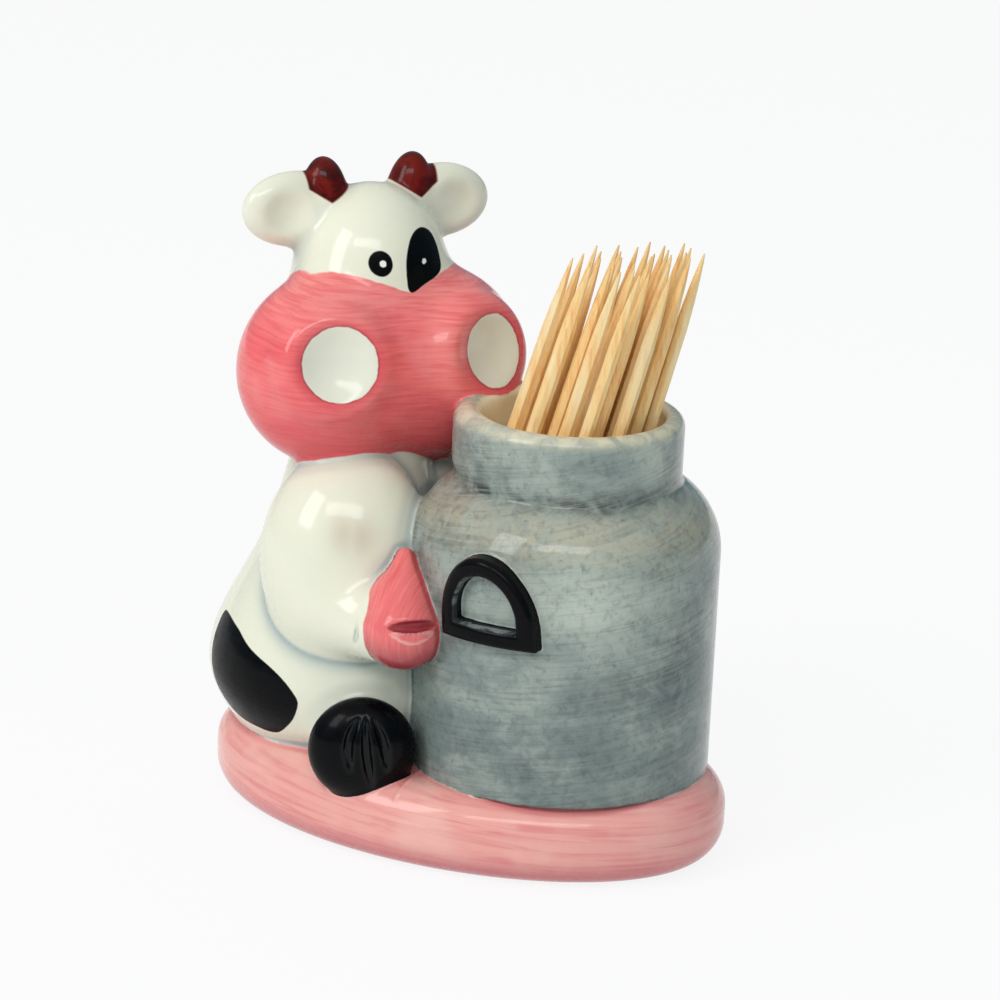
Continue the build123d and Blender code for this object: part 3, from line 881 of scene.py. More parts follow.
def muzzle_paint(head, table):
    """Rose paint up to its edge across the face, not on the back of the crown or on what is below."""
    muzzle = nearest_of(table, "muzzle")
    over = head[:, 2] - np.interp(head[:, 1], *np.array(PINK_EDGE).T)
    forward = np.clip(head[:, 0] - PINK_FORWARD, 0.0, PINK_FORWARD_MOST)
    behind = muzzle - nearest_of(table, "crown") - forward
    below = muzzle - nearest_of(table, "milk_can", *BODY)
    return np.max([over, behind, below, muzzle - PINK_REACH], axis=0)


def horn_paint(head, table):
    """Red brown on each horn, down to a point at its foot."""
    nearest = np.full(len(head), FAR)
    for word, side in SIDES:
        aside = np.abs(head[:, 1] - HORN_PAINT_ASIDE * side)
        foot = HORN_PAINT_FOOT + HORN_PAINT_SLOPE * aside - head[:, 2]
        off_horn = nearest_of(table, f"{word}_horn") - HORN_PAINT_REACH
        nearest = np.minimum(nearest, np.maximum(off_horn, foot))
    return nearest


def black_paint(points, head, table):
    """Black on the eye and its patch, on the hooves, lugs and tuft, and in spots on the torso."""
    front = np.where(head[:, 0] > FACE_FRONT, 0.0, FAR)
    face = head[:, 1:]
    eye = np.linalg.norm((face - EYE_MIDDLE) / EYE_RADII, axis=1) - 1.0
    nearest = np.minimum(eye * EYE_RADII[0], outline_distance(face, smooth_ring(EYE_PATCH))) + front
    off_pieces = nearest_of(table, *FEET_AND_LUGS) - PAINT_OVERRUN
    nearest = np.minimum(nearest, np.maximum(against(table, FEET_AND_LUGS), off_pieces))
    turn = np.degrees(around(points - TORSO_FOOT)[0])
    off_torso = nearest_of(table, "torso", "right_leg") - SPOT_REACH
    for outline in SPOTS:
        corners = np.array(outline, float)
        middle = corners[:, 0].mean()
        aside = wrapped(turn - middle, 180.0)
        flat = np.stack([np.radians(aside) * SPOT_RADIUS, points[:, 2]], 1)
        corners[:, 0] = np.radians(corners[:, 0] - middle) * SPOT_RADIUS
        spot = outline_distance(flat, smooth_ring(corners))
        nearest = np.minimum(nearest, np.maximum(spot, off_torso))
    return nearest


def nostril_paint(head, table):
    """White inside each nostril, on the muzzle alone."""
    nearest = np.full(len(head), FAR)
    for side, shift, half_width in NOSTRIL_PAINTS:
        flat = (head - on_side(NOSTRIL_MIDDLE, side)) @ nostril_axes(side)[1:].T
        ratio = (flat - (shift, 0.0)) / (half_width, NOSTRIL_PAINT_RISE)
        away = (np.linalg.norm(ratio, axis=1) - 1.0) * half_width
        nearest = np.minimum(nearest, np.where(head[:, 0] > 0.0, away, FAR))
    return np.maximum(nearest, nearest_of(table, "muzzle") - nearest_of(table, "milk_can"))


def dot_paint(head):
    nearest = np.full(len(head), FAR)
    for across, up, radius in EYE_DOTS:
        away = np.hypot(head[:, 1] - across, head[:, 2] - up) - radius
        nearest = np.minimum(nearest, np.where(head[:, 0] > FACE_FRONT, away, FAR))
    return nearest


HEAD_PIECES = ["muzzle", "crown", "right_ear", "left_ear", "right_horn", "left_horn"]
CAN_PIECES = ["milk_can", "front_can_lug", "rear_can_lug"]
# Dark patches, partly darker sponging and partly painted shade; each patch has its bearing in degrees, its
# rise, its width in degrees, its height and its depth
CAN_SMUDGES_AND_SHADE = [
    (-18, 20, 12, 14, 0.6), (-40, 18, 16, 4, 0.45), (-104, 8, 9, 3, 0.5), (-78, 17, 14, 3, 0.3),
    (-120, 48, 18, 4, 0.75), (-8, 49, 12, 5, 0.5), (-52, 45, 20, 1.6, 0.5), (-128, 38, 18, 5, 0.5),
    (-32, 36, 12, 2.5, 0.35), (2, 26, 11, 14, 0.5), (150, 20, 22, 9, 0.35), (60, 24, 18, 6, 0.4),
    (20, 8, 16, 4, 0.4), (-71, 6, 34, 5, 0.45),
]
# Paler patches in the same form, partly paler sponging and partly painted light on the side that faces the
# lamps
CAN_LIGHTS = [(-56, 31, 24, 6, 0.8), (-16, 50, 16, 4, 0.7), (120, 28, 24, 6, 0.6)]
# How fast the painted shade beside each arm fades on the torso and on the arm, and how far from the torso
# it reaches
SHADE_FADE_TORSO = 1.7
SHADE_FADE_ARM = 0.6
ARM_SHADE_REACH = 2.5
PLINTH_STROKE_RADIUS = 30.0
CAN_STROKE_RISE = 0.35
FACE_STROKE_RADIUS = 16.0
FACE_STROKE_BACK = 3.0
# How dark the painted shade is in the neck's crease, beside the cow and at the can's foot, and how far it
# reaches
NECK_SHADE = (0.7, 1.2)
NECK_SHADE_HEIGHT = CAN_NECK_HEIGHT + 0.9
COW_SHADE = (0.65, 2.2)
FOOT_SHADE = (0.4, 0.8)


def stroke_places(points, head, owner):
    """Where a brush would be along its stroke and across it, in millimetres, on each point of the skin."""
    along = around(points)[0] * PLINTH_STROKE_RADIUS
    across = points[:, 2].copy()
    can = np.isin(owner, [COLUMN[name] for name in CAN_PIECES])
    turn, reach = around(points[can] - CAN_FOOT)
    along[can] = turn * CAN_RADIUS
    across[can] = points[can, 2] - CAN_FOOT[2] + CAN_STROKE_RISE * reach
    face = np.isin(owner, [COLUMN[name] for name in HEAD_PIECES])
    ahead = np.maximum(head[face, 0] + FACE_STROKE_BACK, 1.0)
    along[face] = np.arctan2(head[face, 1], ahead) * FACE_STROKE_RADIUS
    across[face] = head[face, 2]
    hand = np.isin(owner, [COLUMN[name] for name in HANDS])
    along[hand] = points[hand, 2]
    across[hand] = points[hand, 0]
    return along, across


def can_patches(offset, patches):
    """How strongly soft patches cover the can at each point."""
    turn = np.degrees(around(offset)[0])
    total = np.zeros(len(offset))
    for side, rise, width, tall, depth in patches:
        aside = wrapped(turn - side, 180.0)
        total = total + depth * np.exp(-(aside / width) ** 2 - ((offset[:, 2] - rise) / tall) ** 2)
    return total


def can_shade_and_smudges(points, table):
    """How dark the brushed grey of the can is: painted shade in its creases and beside the cow, and smudges
    that are partly painted shade.
    """
    offset = points - CAN_FOOT
    height = offset[:, 2]
    cow = nearest_of(table, "muzzle", *BODY)
    shade_and_smudges = NECK_SHADE[0] * np.exp(-((height - NECK_SHADE_HEIGHT) / NECK_SHADE[1]) ** 2)
    shade_and_smudges = shade_and_smudges + COW_SHADE[0] * np.exp(-np.maximum(cow, 0.0) / COW_SHADE[1])
    shade_and_smudges = shade_and_smudges + FOOT_SHADE[0] * np.exp(-np.abs(height) / FOOT_SHADE[1])
    return np.clip(shade_and_smudges + can_patches(offset, CAN_SMUDGES_AND_SHADE), 0.0, 1.0)


def arm_shade_layer(table):
    """Painted shade where an arm meets the torso, wider on the torso's side."""
    torso = nearest_of(table, "torso")
    total = np.zeros(len(table))
    for name in ("right_arm", "left_arm"):
        aside = nearest_of(table, name) - torso
        fade = np.where(aside > 0.0, np.exp(-aside / SHADE_FADE_TORSO), np.exp(aside / SHADE_FADE_ARM))
        total = np.maximum(total, np.where(np.abs(torso) < ARM_SHADE_REACH, fade, 0.0))
    return total


def paint_layers(points, normals):
    """Every layer that the glazes read, by its name."""
    table = casting_distances(points)
    head = in_head(points)
    offset = points - CAN_FOOT
    along, across = stroke_places(points, head, table.argmin(1))
    blushes = [np.exp(-(((points - middle) / BLUSH_RADII) ** 2).sum(1)) for middle in BLUSHES]
    inner_edge = np.interp(offset[:, 2], INNER_HEIGHTS, INNER_RADII)
    right = np.where(points[:, 1:2] < FIGURE_Y, points, to_right(points, 1))
    outer, hole, reach = lug_outlines(right, -1)
    layers = {
        "can_paint": against(table, ["milk_can"]),
        "plinth_paint": against(table, ["plinth"]),
        "hand_paint": against(table, HANDS),
        "muzzle_paint": muzzle_paint(head, table),
        "nostril_paint": nostril_paint(head, table),
        "horn_paint": horn_paint(head, table),
        "black_paint": black_paint(points, head, table),
        "dot_paint": dot_paint(head),
        "along": along,
        "across": across,
        "arm_shade": arm_shade_layer(table),
        "blush": np.max(blushes, axis=0),
        "shade_and_smudges": can_shade_and_smudges(points, table),
        "can_light": can_patches(offset, CAN_LIGHTS),
        "shoulder": np.exp(-((offset[:, 2] - SHOULDER_MIDDLE) / SHOULDER_SPREAD) ** 2),
        "inner": ramp(inner_edge - around(offset)[1], -INNER_SOFT, INNER_SOFT),
        "face_glow": np.exp(-(((head[:, 1:] - FACE_GLOW_MIDDLE) / FACE_GLOW_RADII) ** 2).sum(1)),
        "rim": ramp(offset[:, 2], *RIM_FADE),
        "low_can": ramp(offset[:, 2], *LOW_CAN),
        "low_face": ramp(head[:, 2], *LOW_FACE),
        "high_face": ramp(head[:, 2], *HIGH_FACE),
        "low_hand": ramp(points[:, 2], *LOW_HAND),
        "low_plinth": ramp(points[:, 2], *LOW_PLINTH),
        "slot": strand(right, slot_line, SLOT_RADIUS),
        "lip": np.min([strand(right, line, LIP_RADIUS) for line in lip_lines], axis=0),
        "leaf": np.min([strand(right, line, LEAF_RADIUS) for line in leaf_lines], axis=0),
        "lug_edge": np.where(reach > LUG_FACE_RADIUS, np.abs(hole) - LUG_EDGE_HALF_WIDTH, FAR),
    }
    # How deep each point lies in a crease or a hollow, which the glazes darken as painted shade
    for name, probe in (("crease", CREASE_PROBE), ("hollow", HOLLOW_PROBE)):
        layers[name] = np.clip(1.0 - detailed_field(points + normals * probe) / probe, 0.0, 1.0)
    return layers


skin_layers = paint_layers(skin, skin_normals)


# Node helpers

def linear(red, green, blue):
    """Colour written as screen values from 0 to 255, as the shader's linear colour."""
    shares = np.array([red, green, blue]) / 255.0
    light = np.where(shares < 0.04045, shares / 12.92, ((shares + 0.055) / 1.055) ** 2.4)
    return (*light.tolist(), 1.0)


def put(tree, kind, inputs=None, **settings):
    """New node with its settings, and each input given a value or a link."""
    node = tree.nodes.new(kind)
    for name, value in settings.items():
        setattr(node, name, value)
    for name, value in (inputs or {}).items():
        socket = node.inputs[name]
        if isinstance(value, bpy.types.NodeSocket):
            tree.links.new(value, socket)
        else:
            socket.default_value = value
    return node


def maths(tree, operation, first, second):
    return put(tree, "ShaderNodeMath", {0: first, 1: second}, operation=operation).outputs[0]


def blend(tree, factor, below, above):
    node = put(tree, "ShaderNodeMix", {0: factor, 6: below, 7: above}, data_type="RGBA")
    return node.outputs[2]


def times(tree, first, second):
    return maths(tree, "MULTIPLY", first, second)


def larger(tree, first, second):
    return maths(tree, "MAXIMUM", first, second)


def spread(tree, value, low, high, to_low, to_high):
    """Smooth ramp from one value at low to another at high."""
    inputs = {0: value, 1: low, 2: high, 3: to_low, 4: to_high}
    return put(tree, "ShaderNodeMapRange", inputs, interpolation_type="SMOOTHSTEP").outputs[0]


def coats(tree, color, *layers):
    """Coats over a colour, each with a value, the ramp that makes it a cover, and its own colour."""
    for value, steps, paint in layers:
        color = blend(tree, spread(tree, value, *steps), color, paint)
    return color


def layer(tree, name):
    return put(tree, "ShaderNodeAttribute", attribute_name=name).outputs["Fac"]


def noise(tree, stretch, detail, distortion):
    """Noise on the object's own place, with its own scale along each axis, in cells to the metre."""
    place = put(tree, "ShaderNodeTexCoord").outputs["Object"]
    scaled = put(tree, "ShaderNodeVectorMath", {0: place, 1: stretch}, operation="MULTIPLY").outputs[0]
    inputs = {"Vector": scaled, "Scale": 1.0, "Detail": detail, "Roughness": 0.6, "Distortion": distortion}
    return put(tree, "ShaderNodeTexNoise", inputs).outputs["Fac"]


def brush(tree, length, width, slant, detail, distortion):
    """Noise drawn out along the brush strokes, with the size of one stroke in millimetres."""
    along = layer(tree, "along")
    across = maths(tree, "ADD", layer(tree, "across"), times(tree, along, slant))
    place = put(tree, "ShaderNodeCombineXYZ", {
        0: maths(tree, "DIVIDE", along, length),
        1: maths(tree, "DIVIDE", across, width),
    }).outputs[0]
    inputs = {"Vector": place, "Scale": 1.0, "Detail": detail, "Roughness": 0.55, "Distortion": distortion}
    return put(tree, "ShaderNodeTexNoise", inputs).outputs["Fac"]


def painted(tree, name, wobble, soft):
    """One where the layer's paint lies, with a slightly uneven edge."""
    edge = maths(tree, "ADD", layer(tree, name), wobble)
    return spread(tree, edge, -soft, soft, 1.0, 0.0)


def new_tree(name):
    material = bpy.data.materials.new(name)
    material.use_nodes = True
    material.node_tree.nodes.clear()
    return material, material.node_tree


def put_surface(tree, inputs):
    shader = put(tree, "ShaderNodeBsdfPrincipled", inputs)
    put(tree, "ShaderNodeOutputMaterial", {"Surface": shader.outputs[0]})


IVORY = linear(243, 241, 218)
IVORY_SHADE = linear(142, 164, 168)
BLUSH = linear(176, 124, 84)
MUZZLE = linear(255, 117, 117)
MUZZLE_DEEP = linear(222, 80, 88)
MUZZLE_PALE = linear(255, 162, 154)
NOSTRIL = linear(240, 238, 218)
NOSTRIL_LINE = linear(150, 52, 50)
CAN = linear(128, 142, 137)
CAN_PALE = linear(172, 181, 170)
CAN_LIGHT = linear(204, 211, 196)
CAN_BEIGE = linear(190, 182, 156)
CAN_DARK = linear(58, 66, 68)
CAN_RIM = linear(224, 217, 188)
CAN_INNER = linear(255, 240, 200)
PLINTH = linear(250, 176, 165)
PLINTH_DEEP = linear(231, 134, 133)
PLINTH_LOW_SHADE = linear(209, 108, 117)
PLINTH_PALE = linear(255, 206, 191)
HAND = linear(232, 96, 100)
HAND_SHADE = linear(150, 36, 48)
HAND_PALE = linear(252, 136, 131)
HAND_LOW_SHADE = linear(126, 32, 52)
LIP_HIGHLIGHT = linear(252, 206, 196)
HORN = linear(118, 24, 16)
HORN_DARK = linear(70, 12, 10)
HORN_EDGE = linear(238, 196, 170)
BLACK = linear(6, 7, 9)
BLACK_BROWN = linear(14, 13, 14)
LUG_EDGE = linear(142, 152, 150)
WHITE_DOT = linear(250, 248, 240)


def can_colour(tree, smear, grain):
    """Sponged and brushed grey, beige on the shoulder, pale on the rim and warm inside, with painted shade
    low down, in the creases and beside the cow, and painted light in some paler patches.
    """
    cloud = noise(tree, (105.0, 105.0, 150.0), 8.0, 0.6)
    mottle = noise(tree, (800.0, 800.0, 800.0), 6.0, 0.4)
    strokes = brush(tree, 14.0, 0.45, -0.12, 5.0, 0.8)
    cross = brush(tree, 5.0, 0.8, 0.9, 3.0, 1.0)
    # Painted shade: less of the paler sponging towards the can's foot, so the grey darkens downwards
    low = times(tree, layer(tree, "low_can"), -0.13)
    color = coats(tree, CAN, (maths(tree, "ADD", cloud, low), (0.28, 0.66, 0.0, 1.0), CAN_PALE))
    beige = times(tree, layer(tree, "shoulder"), spread(tree, smear, 0.3, 0.65, 0.25, 0.85))
    color = blend(tree, beige, color, CAN_BEIGE)
    # Paler patches, partly painted light where the lamps fall on the can
    color = blend(tree, layer(tree, "can_light"), color, CAN_LIGHT)
    color = coats(
        tree, color,
        (cross, (0.54, 0.78, 0.0, 0.16), CAN_PALE),
        (strokes, (0.46, 0.76, 0.0, 0.24), CAN_DARK),
        (mottle, (0.46, 0.72, 0.0, 0.3), CAN_DARK),
        (grain, (0.6, 0.76, 0.0, 0.35), CAN_DARK),
    )
    rim = times(tree, layer(tree, "rim"), spread(tree, smear, 0.35, 0.65, 1.0, 0.45))
    color = blend(tree, rim, color, CAN_RIM)
    # Painted shade in the neck's crease, at the foot and beside the cow, with the smudges, broken up by the
    # sponging and the strokes
    shade_and_smudge_cover = times(tree, layer(tree, "shade_and_smudges"), spread(tree, smear, 0.34, 0.62, 0.25, 1.0))
    shade_and_smudge_cover = times(tree, shade_and_smudge_cover, spread(tree, strokes, 0.34, 0.62, 0.5, 1.0))
    color = blend(tree, shade_and_smudge_cover, color, CAN_DARK)
    return blend(tree, layer(tree, "inner"), color, CAN_INNER)


def plinth_colour(tree, cloud):
    """Salmon with rosy strokes, with painted shade deeper towards the table and beside what stands on it.
    """
    strokes = brush(tree, 16.0, 0.9, 0.05, 4.0, 0.6)
    color = coats(
        tree, PLINTH,
        (strokes, (0.42, 0.7, 0.0, 0.7), PLINTH_DEEP),
        (cloud, (0.42, 0.76, 0.0, 0.5), PLINTH_PALE),
    )
    # Painted shade towards the table
    color = blend(tree, times(tree, layer(tree, "low_plinth"), 0.85), color, PLINTH_LOW_SHADE)
    # Painted shade in the creases beside what stands on the plinth
    return coats(tree, color, (layer(tree, "crease"), (0.15, 0.7, 0.0, 0.7), PLINTH_DEEP))


def muzzle_colour(tree, cloud):
    """Rose paint in fine strokes, with painted light making it paler on top of the muzzle and painted shade
    making it deeper under it and round the nostrils.
    """
    strokes = brush(tree, 6.0, 0.5, 0.06, 5.0, 0.4)
    nostril = layer(tree, "nostril_paint")
    color = coats(tree, MUZZLE, (strokes, (0.34, 0.76, 0.0, 0.62), MUZZLE_DEEP))
    # Painted light: paler on top of the muzzle and in a patch on the front of it
    pale = larger(tree, layer(tree, "high_face"), layer(tree, "face_glow"))
    pale = times(tree, pale, spread(tree, strokes, 0.3, 0.66, 0.75, 0.25))
    color = blend(tree, pale, color, MUZZLE_PALE)
    color = coats(tree, color, (cloud, (0.46, 0.76, 0.0, 0.4), MUZZLE_PALE))
    # Painted shade: deeper under the muzzle and where it rolls into each nostril
    deep = times(tree, layer(tree, "low_face"), 0.65)
    deep = larger(tree, deep, spread(tree, nostril, 0.0, 1.6, 0.5, 0.0))
    color = blend(tree, deep, color, MUZZLE_DEEP)
    return coats(tree, color, (nostril, (0.0, 0.45, 0.55, 0.0), NOSTRIL_LINE))


def hand_colour(tree):
    """Rose paint in upright strokes, with painted shade deeper below, in the creases and in the slot, and a
    painted highlight on the lips.
    """
    strokes = brush(tree, 7.0, 0.7, 0.0, 4.0, 0.5)
    color = coats(tree, HAND_PALE, (strokes, (0.26, 0.78, 0.0, 0.8), HAND))
    # Painted shade: deeper towards the hand's underside
    color = blend(tree, times(tree, layer(tree, "low_hand"), 0.85), color, HAND_LOW_SHADE)
    # Painted shade in the creases and the slot, and a painted highlight on the lips
    return coats(
        tree, color,
        (layer(tree, "crease"), (0.2, 0.8, 0.0, 0.6), HAND_SHADE),
        (layer(tree, "slot"), (-0.1, 0.25, 1.0, 0.0), HAND_SHADE),
        (layer(tree, "lip"), (-0.12, 0.24, 0.85, 0.0), LIP_HIGHLIGHT),
    )


@functools.cache
def glaze(name):
    """Painted and glazed earthenware; every ceramic slot has the same layers, so joins don't show."""
    material, tree = new_tree(name)
    fine = noise(tree, (900.0, 900.0, 900.0), 3.0, 0.0)
    ragged = maths(tree, "SUBTRACT", noise(tree, (420.0, 420.0, 420.0), 2.0, 0.0), 0.5)
    wobble = times(tree, ragged, 0.5)
    small_wobble = times(tree, ragged, 0.15)
    cloud = noise(tree, (110.0, 110.0, 110.0), 2.0, 0.0)
    smear = noise(tree, (240.0, 240.0, 240.0), 4.0, 1.2)

    # Painted shade: bluish grey in creases, in hollows and where the arms meet the torso
    painted_shade = spread(tree, layer(tree, "crease"), 0.1, 0.7, 0.0, 0.75)
    painted_shade = larger(tree, painted_shade, spread(tree, layer(tree, "hollow"), 0.12, 0.7, 0.0, 0.25))
    painted_shade = larger(tree, painted_shade, spread(tree, layer(tree, "arm_shade"), 0.0, 1.0, 0.0, 0.72))
    color = blend(tree, painted_shade, IVORY, IVORY_SHADE)
    color = blend(tree, times(tree, layer(tree, "blush"), 0.32), color, BLUSH)
    horn = coats(
        tree, HORN_DARK,
        (smear, (0.38, 0.66, 0.0, 1.0), HORN),
        (layer(tree, "horn_paint"), (-0.3, 0.05, 0.0, 1.0), HORN_EDGE),
    )
    black = coats(tree, BLACK, (smear, (0.45, 0.75, 0.0, 0.7), BLACK_BROWN))
    # Each paint with how ragged and how soft its edge is, in the order of laying them on
    paints = [
        ("plinth_paint", wobble, 0.12, plinth_colour(tree, cloud)),
        ("can_paint", wobble, 0.3, can_colour(tree, smear, fine)),
        ("muzzle_paint", wobble, 0.15, muzzle_colour(tree, cloud)),
        ("nostril_paint", wobble, 0.1, NOSTRIL),
        ("hand_paint", wobble, 0.12, hand_colour(tree)),
        ("horn_paint", small_wobble, 0.1, horn),
        ("black_paint", small_wobble, 0.1, black),
        ("dot_paint", small_wobble, 0.08, WHITE_DOT),
    ]
    covers = {}
    for layer_name, edge, soft, paint in paints:
        covers[layer_name] = painted(tree, layer_name, edge, soft)
        color = blend(tree, covers[layer_name], color, paint)
    # Grey round the edge of each lug's hole, broken up by the sponging
    lug_edge_grey = spread(tree, smear, 0.4, 0.6, 0.1, 0.7)
    lug_edge_grey = times(tree, painted(tree, "lug_edge", wobble, 0.15), lug_edge_grey)
    color = blend(tree, lug_edge_grey, color, LUG_EDGE)

    # The coat is thinner on black and horn, apart from the grooves of the hooves
    dark = larger(tree, covers["black_paint"], times(tree, covers["horn_paint"], 0.6))
    dark = times(tree, dark, spread(tree, layer(tree, "leaf"), -0.2, 1.0, 0.45, 1.0))
    coat = spread(tree, dark, 0.0, 1.0, 0.55, 0.07)
    bump = put(tree, "ShaderNodeBump", {"Height": cloud, "Strength": 0.15, "Distance": 0.0012}).outputs[0]
    put_surface(tree, {
        "Base Color": color,
        "Roughness": spread(tree, fine, 0.3, 0.7, 0.22, 0.34),
        "Normal": bump,
        "Specular IOR Level": 0.06,
        "Coat Weight": coat,
        "Coat Roughness": 0.09,
    })
    return material


BAMBOO = linear(255, 216, 147)
BAMBOO_DARK = linear(246, 170, 97)
BAMBOO_PALE = linear(255, 238, 192)


def bamboo():
    """Bare split wood with long grain, paler on some sides and in patches."""
    material, tree = new_tree("bamboo")
    grain = noise(tree, (1600.0, 1600.0, 60.0), 5.0, 0.4)
    patch = noise(tree, (260.0, 260.0, 45.0), 2.0, 0.0)
    color = coats(
        tree, BAMBOO,
        (grain, (0.46, 0.7, 0.0, 0.75), BAMBOO_DARK),
        (maths(tree, "ADD", patch, layer(tree, "tone")), (0.45, 0.8, 0.0, 0.8), BAMBOO_PALE),
    )
    bump = put(tree, "ShaderNodeBump", {"Height": grain, "Strength": 0.5, "Distance": 0.0002}).outputs[0]
    rough = spread(tree, grain, 0.3, 0.7, 0.45, 0.65)
    put_surface(tree, {"Base Color": color, "Roughness": rough, "Normal": bump})
    return material


SLOTS = {
    "plinth": "plinth_glaze",
    "milk_can": "can_glaze",
    "muzzle": "muzzle_glaze",
    "right_horn": "horn_glaze",
    "left_horn": "horn_glaze",
    **dict.fromkeys(HANDS, "hand_glaze"),
    **dict.fromkeys(FEET_AND_LUGS, "black_glaze"),
}


def new_mesh(name, vertices, faces, layers, material):
    """Mesh with its layers and its material."""
    mesh = bpy.data.meshes.new(name)
    mesh.from_pydata(vertices, [], faces)
    for layer_name, values in layers.items():
        mesh.attributes.new(layer_name, "FLOAT", "POINT").data.foreach_set("value", values)
    mesh.materials.append(material)
    return mesh


def add_object(mesh, body, node):
    """Object that rides on a body in place of its CAD node."""
    piece = bpy.data.objects.new(mesh.name, mesh)
    bpy.context.scene.collection.objects.link(piece)
    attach(piece, body)
    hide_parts(node)


def add_casting(node, faces):
    """One casting's share of the skin, with the whole figure's normals and paint."""
    used, places = np.unique(faces, return_inverse=True)
    vertices = (skin[used] * MILLIMETRE).tolist()
    layers = {name: values[used].astype(np.float32) for name, values in skin_layers.items()}
    slot = SLOTS.get(node, "ivory_glaze")
    mesh = new_mesh(f"{node}_glaze", vertices, places.reshape(faces.shape).tolist(), layers, glaze(slot))
    mesh.polygons.foreach_set("use_smooth", np.ones(len(faces), bool))
    mesh.normals_split_custom_set_from_vertices(skin_normals[used].tolist())
    add_object(mesh, "figure", node)


face_middles = skin[skin_faces].mean(1)
face_owner = casting_distances(face_middles).argmin(1)
for name, number in COLUMN.items():
    add_casting(name, skin_faces[face_owner == number])


# Toothpicks

bamboo_material = bamboo()
PICK_SIDES = 7
PICK_SIDE_SPREAD = (0.86, 1.0)
PICK_SEED = 7
# Share of the length and of the radius
PICK_RINGS = [
    (0.0, 0.34), (0.006, 0.42), (0.04, 0.68), (0.09, 0.92), (0.13, 0.97), (0.5, 0.97),
    (0.82, 0.96), (0.88, 0.82), (0.94, 0.55), (0.98, 0.3), (1.0, 0.12),
]


def add_pick(joint, chance):
    """One split and tapered stick, uneven in its sides, on its joint's axis."""
    body = joint["child"]
    node = body.replace("pick_", "toothpick_")
    axis = Vector(joint["axis"]).normalized()
    corners = [Vector(vertex.co) for vertex in frame["nodes"][node].data.vertices]
    middle = sum(corners, Vector()) / len(corners)
    along = [(corner - middle).dot(axis) for corner in corners]
    foot = middle + axis * min(along)
    length = max(along) - min(along)
    radius = max((corner - middle - axis * rise).length for corner, rise in zip(corners, along))
    across = axis.orthogonal().normalized()
    up = axis.cross(across)
    twist = chance.uniform(0.0, math.tau)
    sides = [chance.uniform(*PICK_SIDE_SPREAD) for side in range(PICK_SIDES)]
    vertices = []
    tones = []
    for share, width in PICK_RINGS:
        for side in range(PICK_SIDES):
            turn = twist + math.tau * side / PICK_SIDES
            reach = radius * width * sides[side]
            point = foot + axis * (length * share) + (across * math.cos(turn) + up * math.sin(turn)) * reach
            vertices.append(tuple(point))
            tones.append(sides[side] - sum(PICK_SIDE_SPREAD) / 2)
    faces = [tuple(reversed(range(PICK_SIDES)))]
    for ring in range(len(PICK_RINGS) - 1):
        for side in range(PICK_SIDES):
            first = ring * PICK_SIDES + side
            second = ring * PICK_SIDES + (side + 1) % PICK_SIDES
            faces.append((first, second, second + PICK_SIDES, first + PICK_SIDES))
    faces.append(tuple(range((len(PICK_RINGS) - 1) * PICK_SIDES, len(PICK_RINGS) * PICK_SIDES)))
    mesh = new_mesh(f"{node}_stick", vertices, faces, {"tone": tones}, bamboo_material)
    add_object(mesh, body, node)


chance = random.Random(PICK_SEED)
for joint in frame["joints"]:
    add_pick(joint, chance)


# Camera at the photograph's angle

def towards(azimuth, elevation):
    """Unit vector from the object, in degrees; azimuth 0 is in front of it and grows towards X."""
    turn = math.radians(azimuth)
    lift = math.radians(elevation)
    return Vector((math.sin(turn) * math.cos(lift), -math.cos(turn) * math.cos(lift), math.sin(lift)))


CAMERA_AZIMUTH = 24.2
CAMERA_ELEVATION = 17.39
CAMERA_ROLL = math.radians(2.47)
CAMERA_DISTANCE = 0.5053
CAMERA_TARGET = Vector((0.005071, -0.003237, 0.052517))
CAMERA_LENS = 122.4
CAMERA_SENSOR = 36.0
camera_data = bpy.data.cameras.new("camera")
camera_data.lens = CAMERA_LENS
camera_data.sensor_width = CAMERA_SENSOR
camera = bpy.data.objects.new("camera", camera_data)
bpy.context.scene.collection.objects.link(camera)
back = towards(CAMERA_AZIMUTH, CAMERA_ELEVATION)
level = Vector((0.0, 0.0, 1.0)).cross(back).normalized()
upright = back.cross(level)
right = level * math.cos(CAMERA_ROLL) + upright * math.sin(CAMERA_ROLL)
upward = upright * math.cos(CAMERA_ROLL) - level * math.sin(CAMERA_ROLL)
turned_axes = Matrix((right, upward, back)).transposed()
camera.matrix_world = Matrix.Translation(CAMERA_TARGET + back * CAMERA_DISTANCE) @ turned_axes.to_4x4()
bpy.context.scene.camera = camera


# Soft studio light on a pale floor

LAMP_TARGET = Vector((0.0, 0.0, 0.05))


def add_softbox(name, azimuth, elevation, distance, width, height, power):
    """Lamp aimed at the object."""
    lamp = bpy.data.lights.new(name, "AREA")
    lamp.shape = "RECTANGLE"
    lamp.size = width
    lamp.size_y = height
    lamp.energy = power
    holder = bpy.data.objects.new(name, lamp)
    bpy.context.scene.collection.objects.link(holder)
    away = towards(azimuth, elevation)
    holder.location = LAMP_TARGET + away * distance
    holder.rotation_euler = away.to_track_quat("Z", "Y").to_euler()


add_softbox("key_softbox", azimuth=-29, elevation=35, distance=1.0, width=0.34, height=0.46, power=3.0)
add_softbox("front_strip", azimuth=18, elevation=42, distance=1.2, width=0.85, height=0.22, power=3.2)

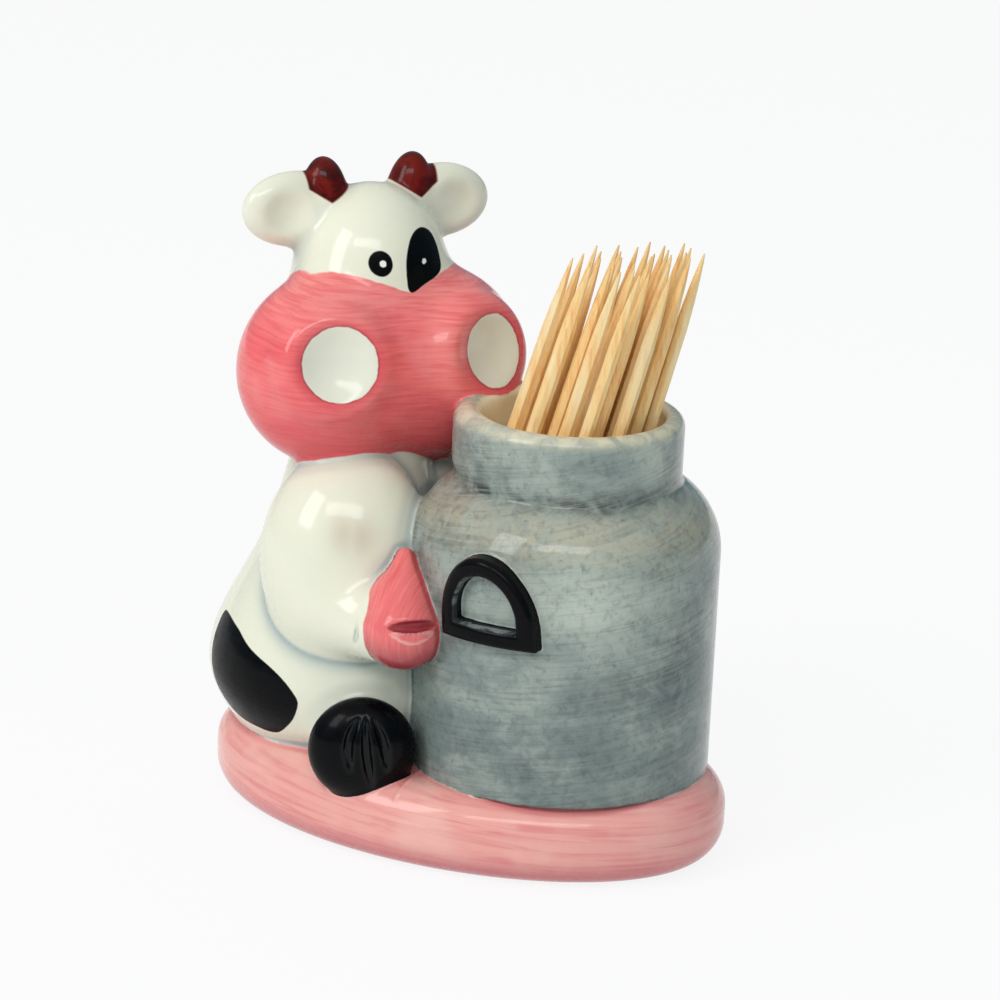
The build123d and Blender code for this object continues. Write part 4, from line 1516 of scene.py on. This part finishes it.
WORLD_LOW = (0.09, 0.22, 0.31, 1.0)
WORLD_HIGH = (0.62, 0.62, 0.62, 1.0)
WORLD_SIDE = (0.07, 0.18, 0.25, 1.0)
WORLD_SIDE_BEARING = (0.91, 0.41, 0.0)
world = bpy.data.worlds.new("studio")
bpy.context.scene.world = world
world.use_nodes = True
sky_tree = world.node_tree
sky_tree.nodes.clear()
direction = put(sky_tree, "ShaderNodeTexCoord").outputs["Generated"]
rise = put(sky_tree, "ShaderNodeSeparateXYZ", {0: direction}).outputs[2]
sky = blend(sky_tree, spread(sky_tree, rise, 0.0, 0.75, 0.0, 1.0), WORLD_LOW, WORLD_HIGH)
sideways = {0: direction, 1: WORLD_SIDE_BEARING}
sideways = put(sky_tree, "ShaderNodeVectorMath", sideways, operation="DOT_PRODUCT").outputs["Value"]
sky = blend(sky_tree, spread(sky_tree, sideways, 0.1, 0.95, 0.0, 0.7), sky, WORLD_SIDE)
light = put(sky_tree, "ShaderNodeBackground", {"Color": sky, "Strength": 1.0})
put(sky_tree, "ShaderNodeOutputWorld", {"Surface": light.outputs[0]})

FLOOR_REACH = 6.0
FLOOR_GLOW_SHARE = 0.88
FLOOR_GREY = (0.93, 0.93, 0.93, 1.0)
WHITE = (1.0, 1.0, 1.0, 1.0)
floor_material, floor_tree = new_tree("floor")
ray = put(floor_tree, "ShaderNodeLightPath").outputs
floor_seen = larger(floor_tree, ray["Is Camera Ray"], ray["Is Glossy Ray"])
floor_seen = larger(floor_tree, floor_seen, ray["Is Transmission Ray"])
floor_share = times(floor_tree, floor_seen, FLOOR_GLOW_SHARE)
matte = put(floor_tree, "ShaderNodeBsdfDiffuse", {"Color": FLOOR_GREY})
glow = put(floor_tree, "ShaderNodeEmission", {"Color": WHITE, "Strength": 1.0})
surfaces = {0: floor_share, 1: matte.outputs[0], 2: glow.outputs[0]}
floor_mix = put(floor_tree, "ShaderNodeMixShader", surfaces)
put(floor_tree, "ShaderNodeOutputMaterial", {"Surface": floor_mix.outputs[0]})
corners = [(FLOOR_REACH * x, FLOOR_REACH * y, 0.0) for x, y in ((-1, -1), (1, -1), (1, 1), (-1, 1))]
floor = bpy.data.objects.new("floor", new_mesh("floor", corners, [(0, 1, 2, 3)], {}, floor_material))
bpy.context.scene.collection.objects.link(floor)

bpy.context.scene.view_settings.view_transform = "Standard"
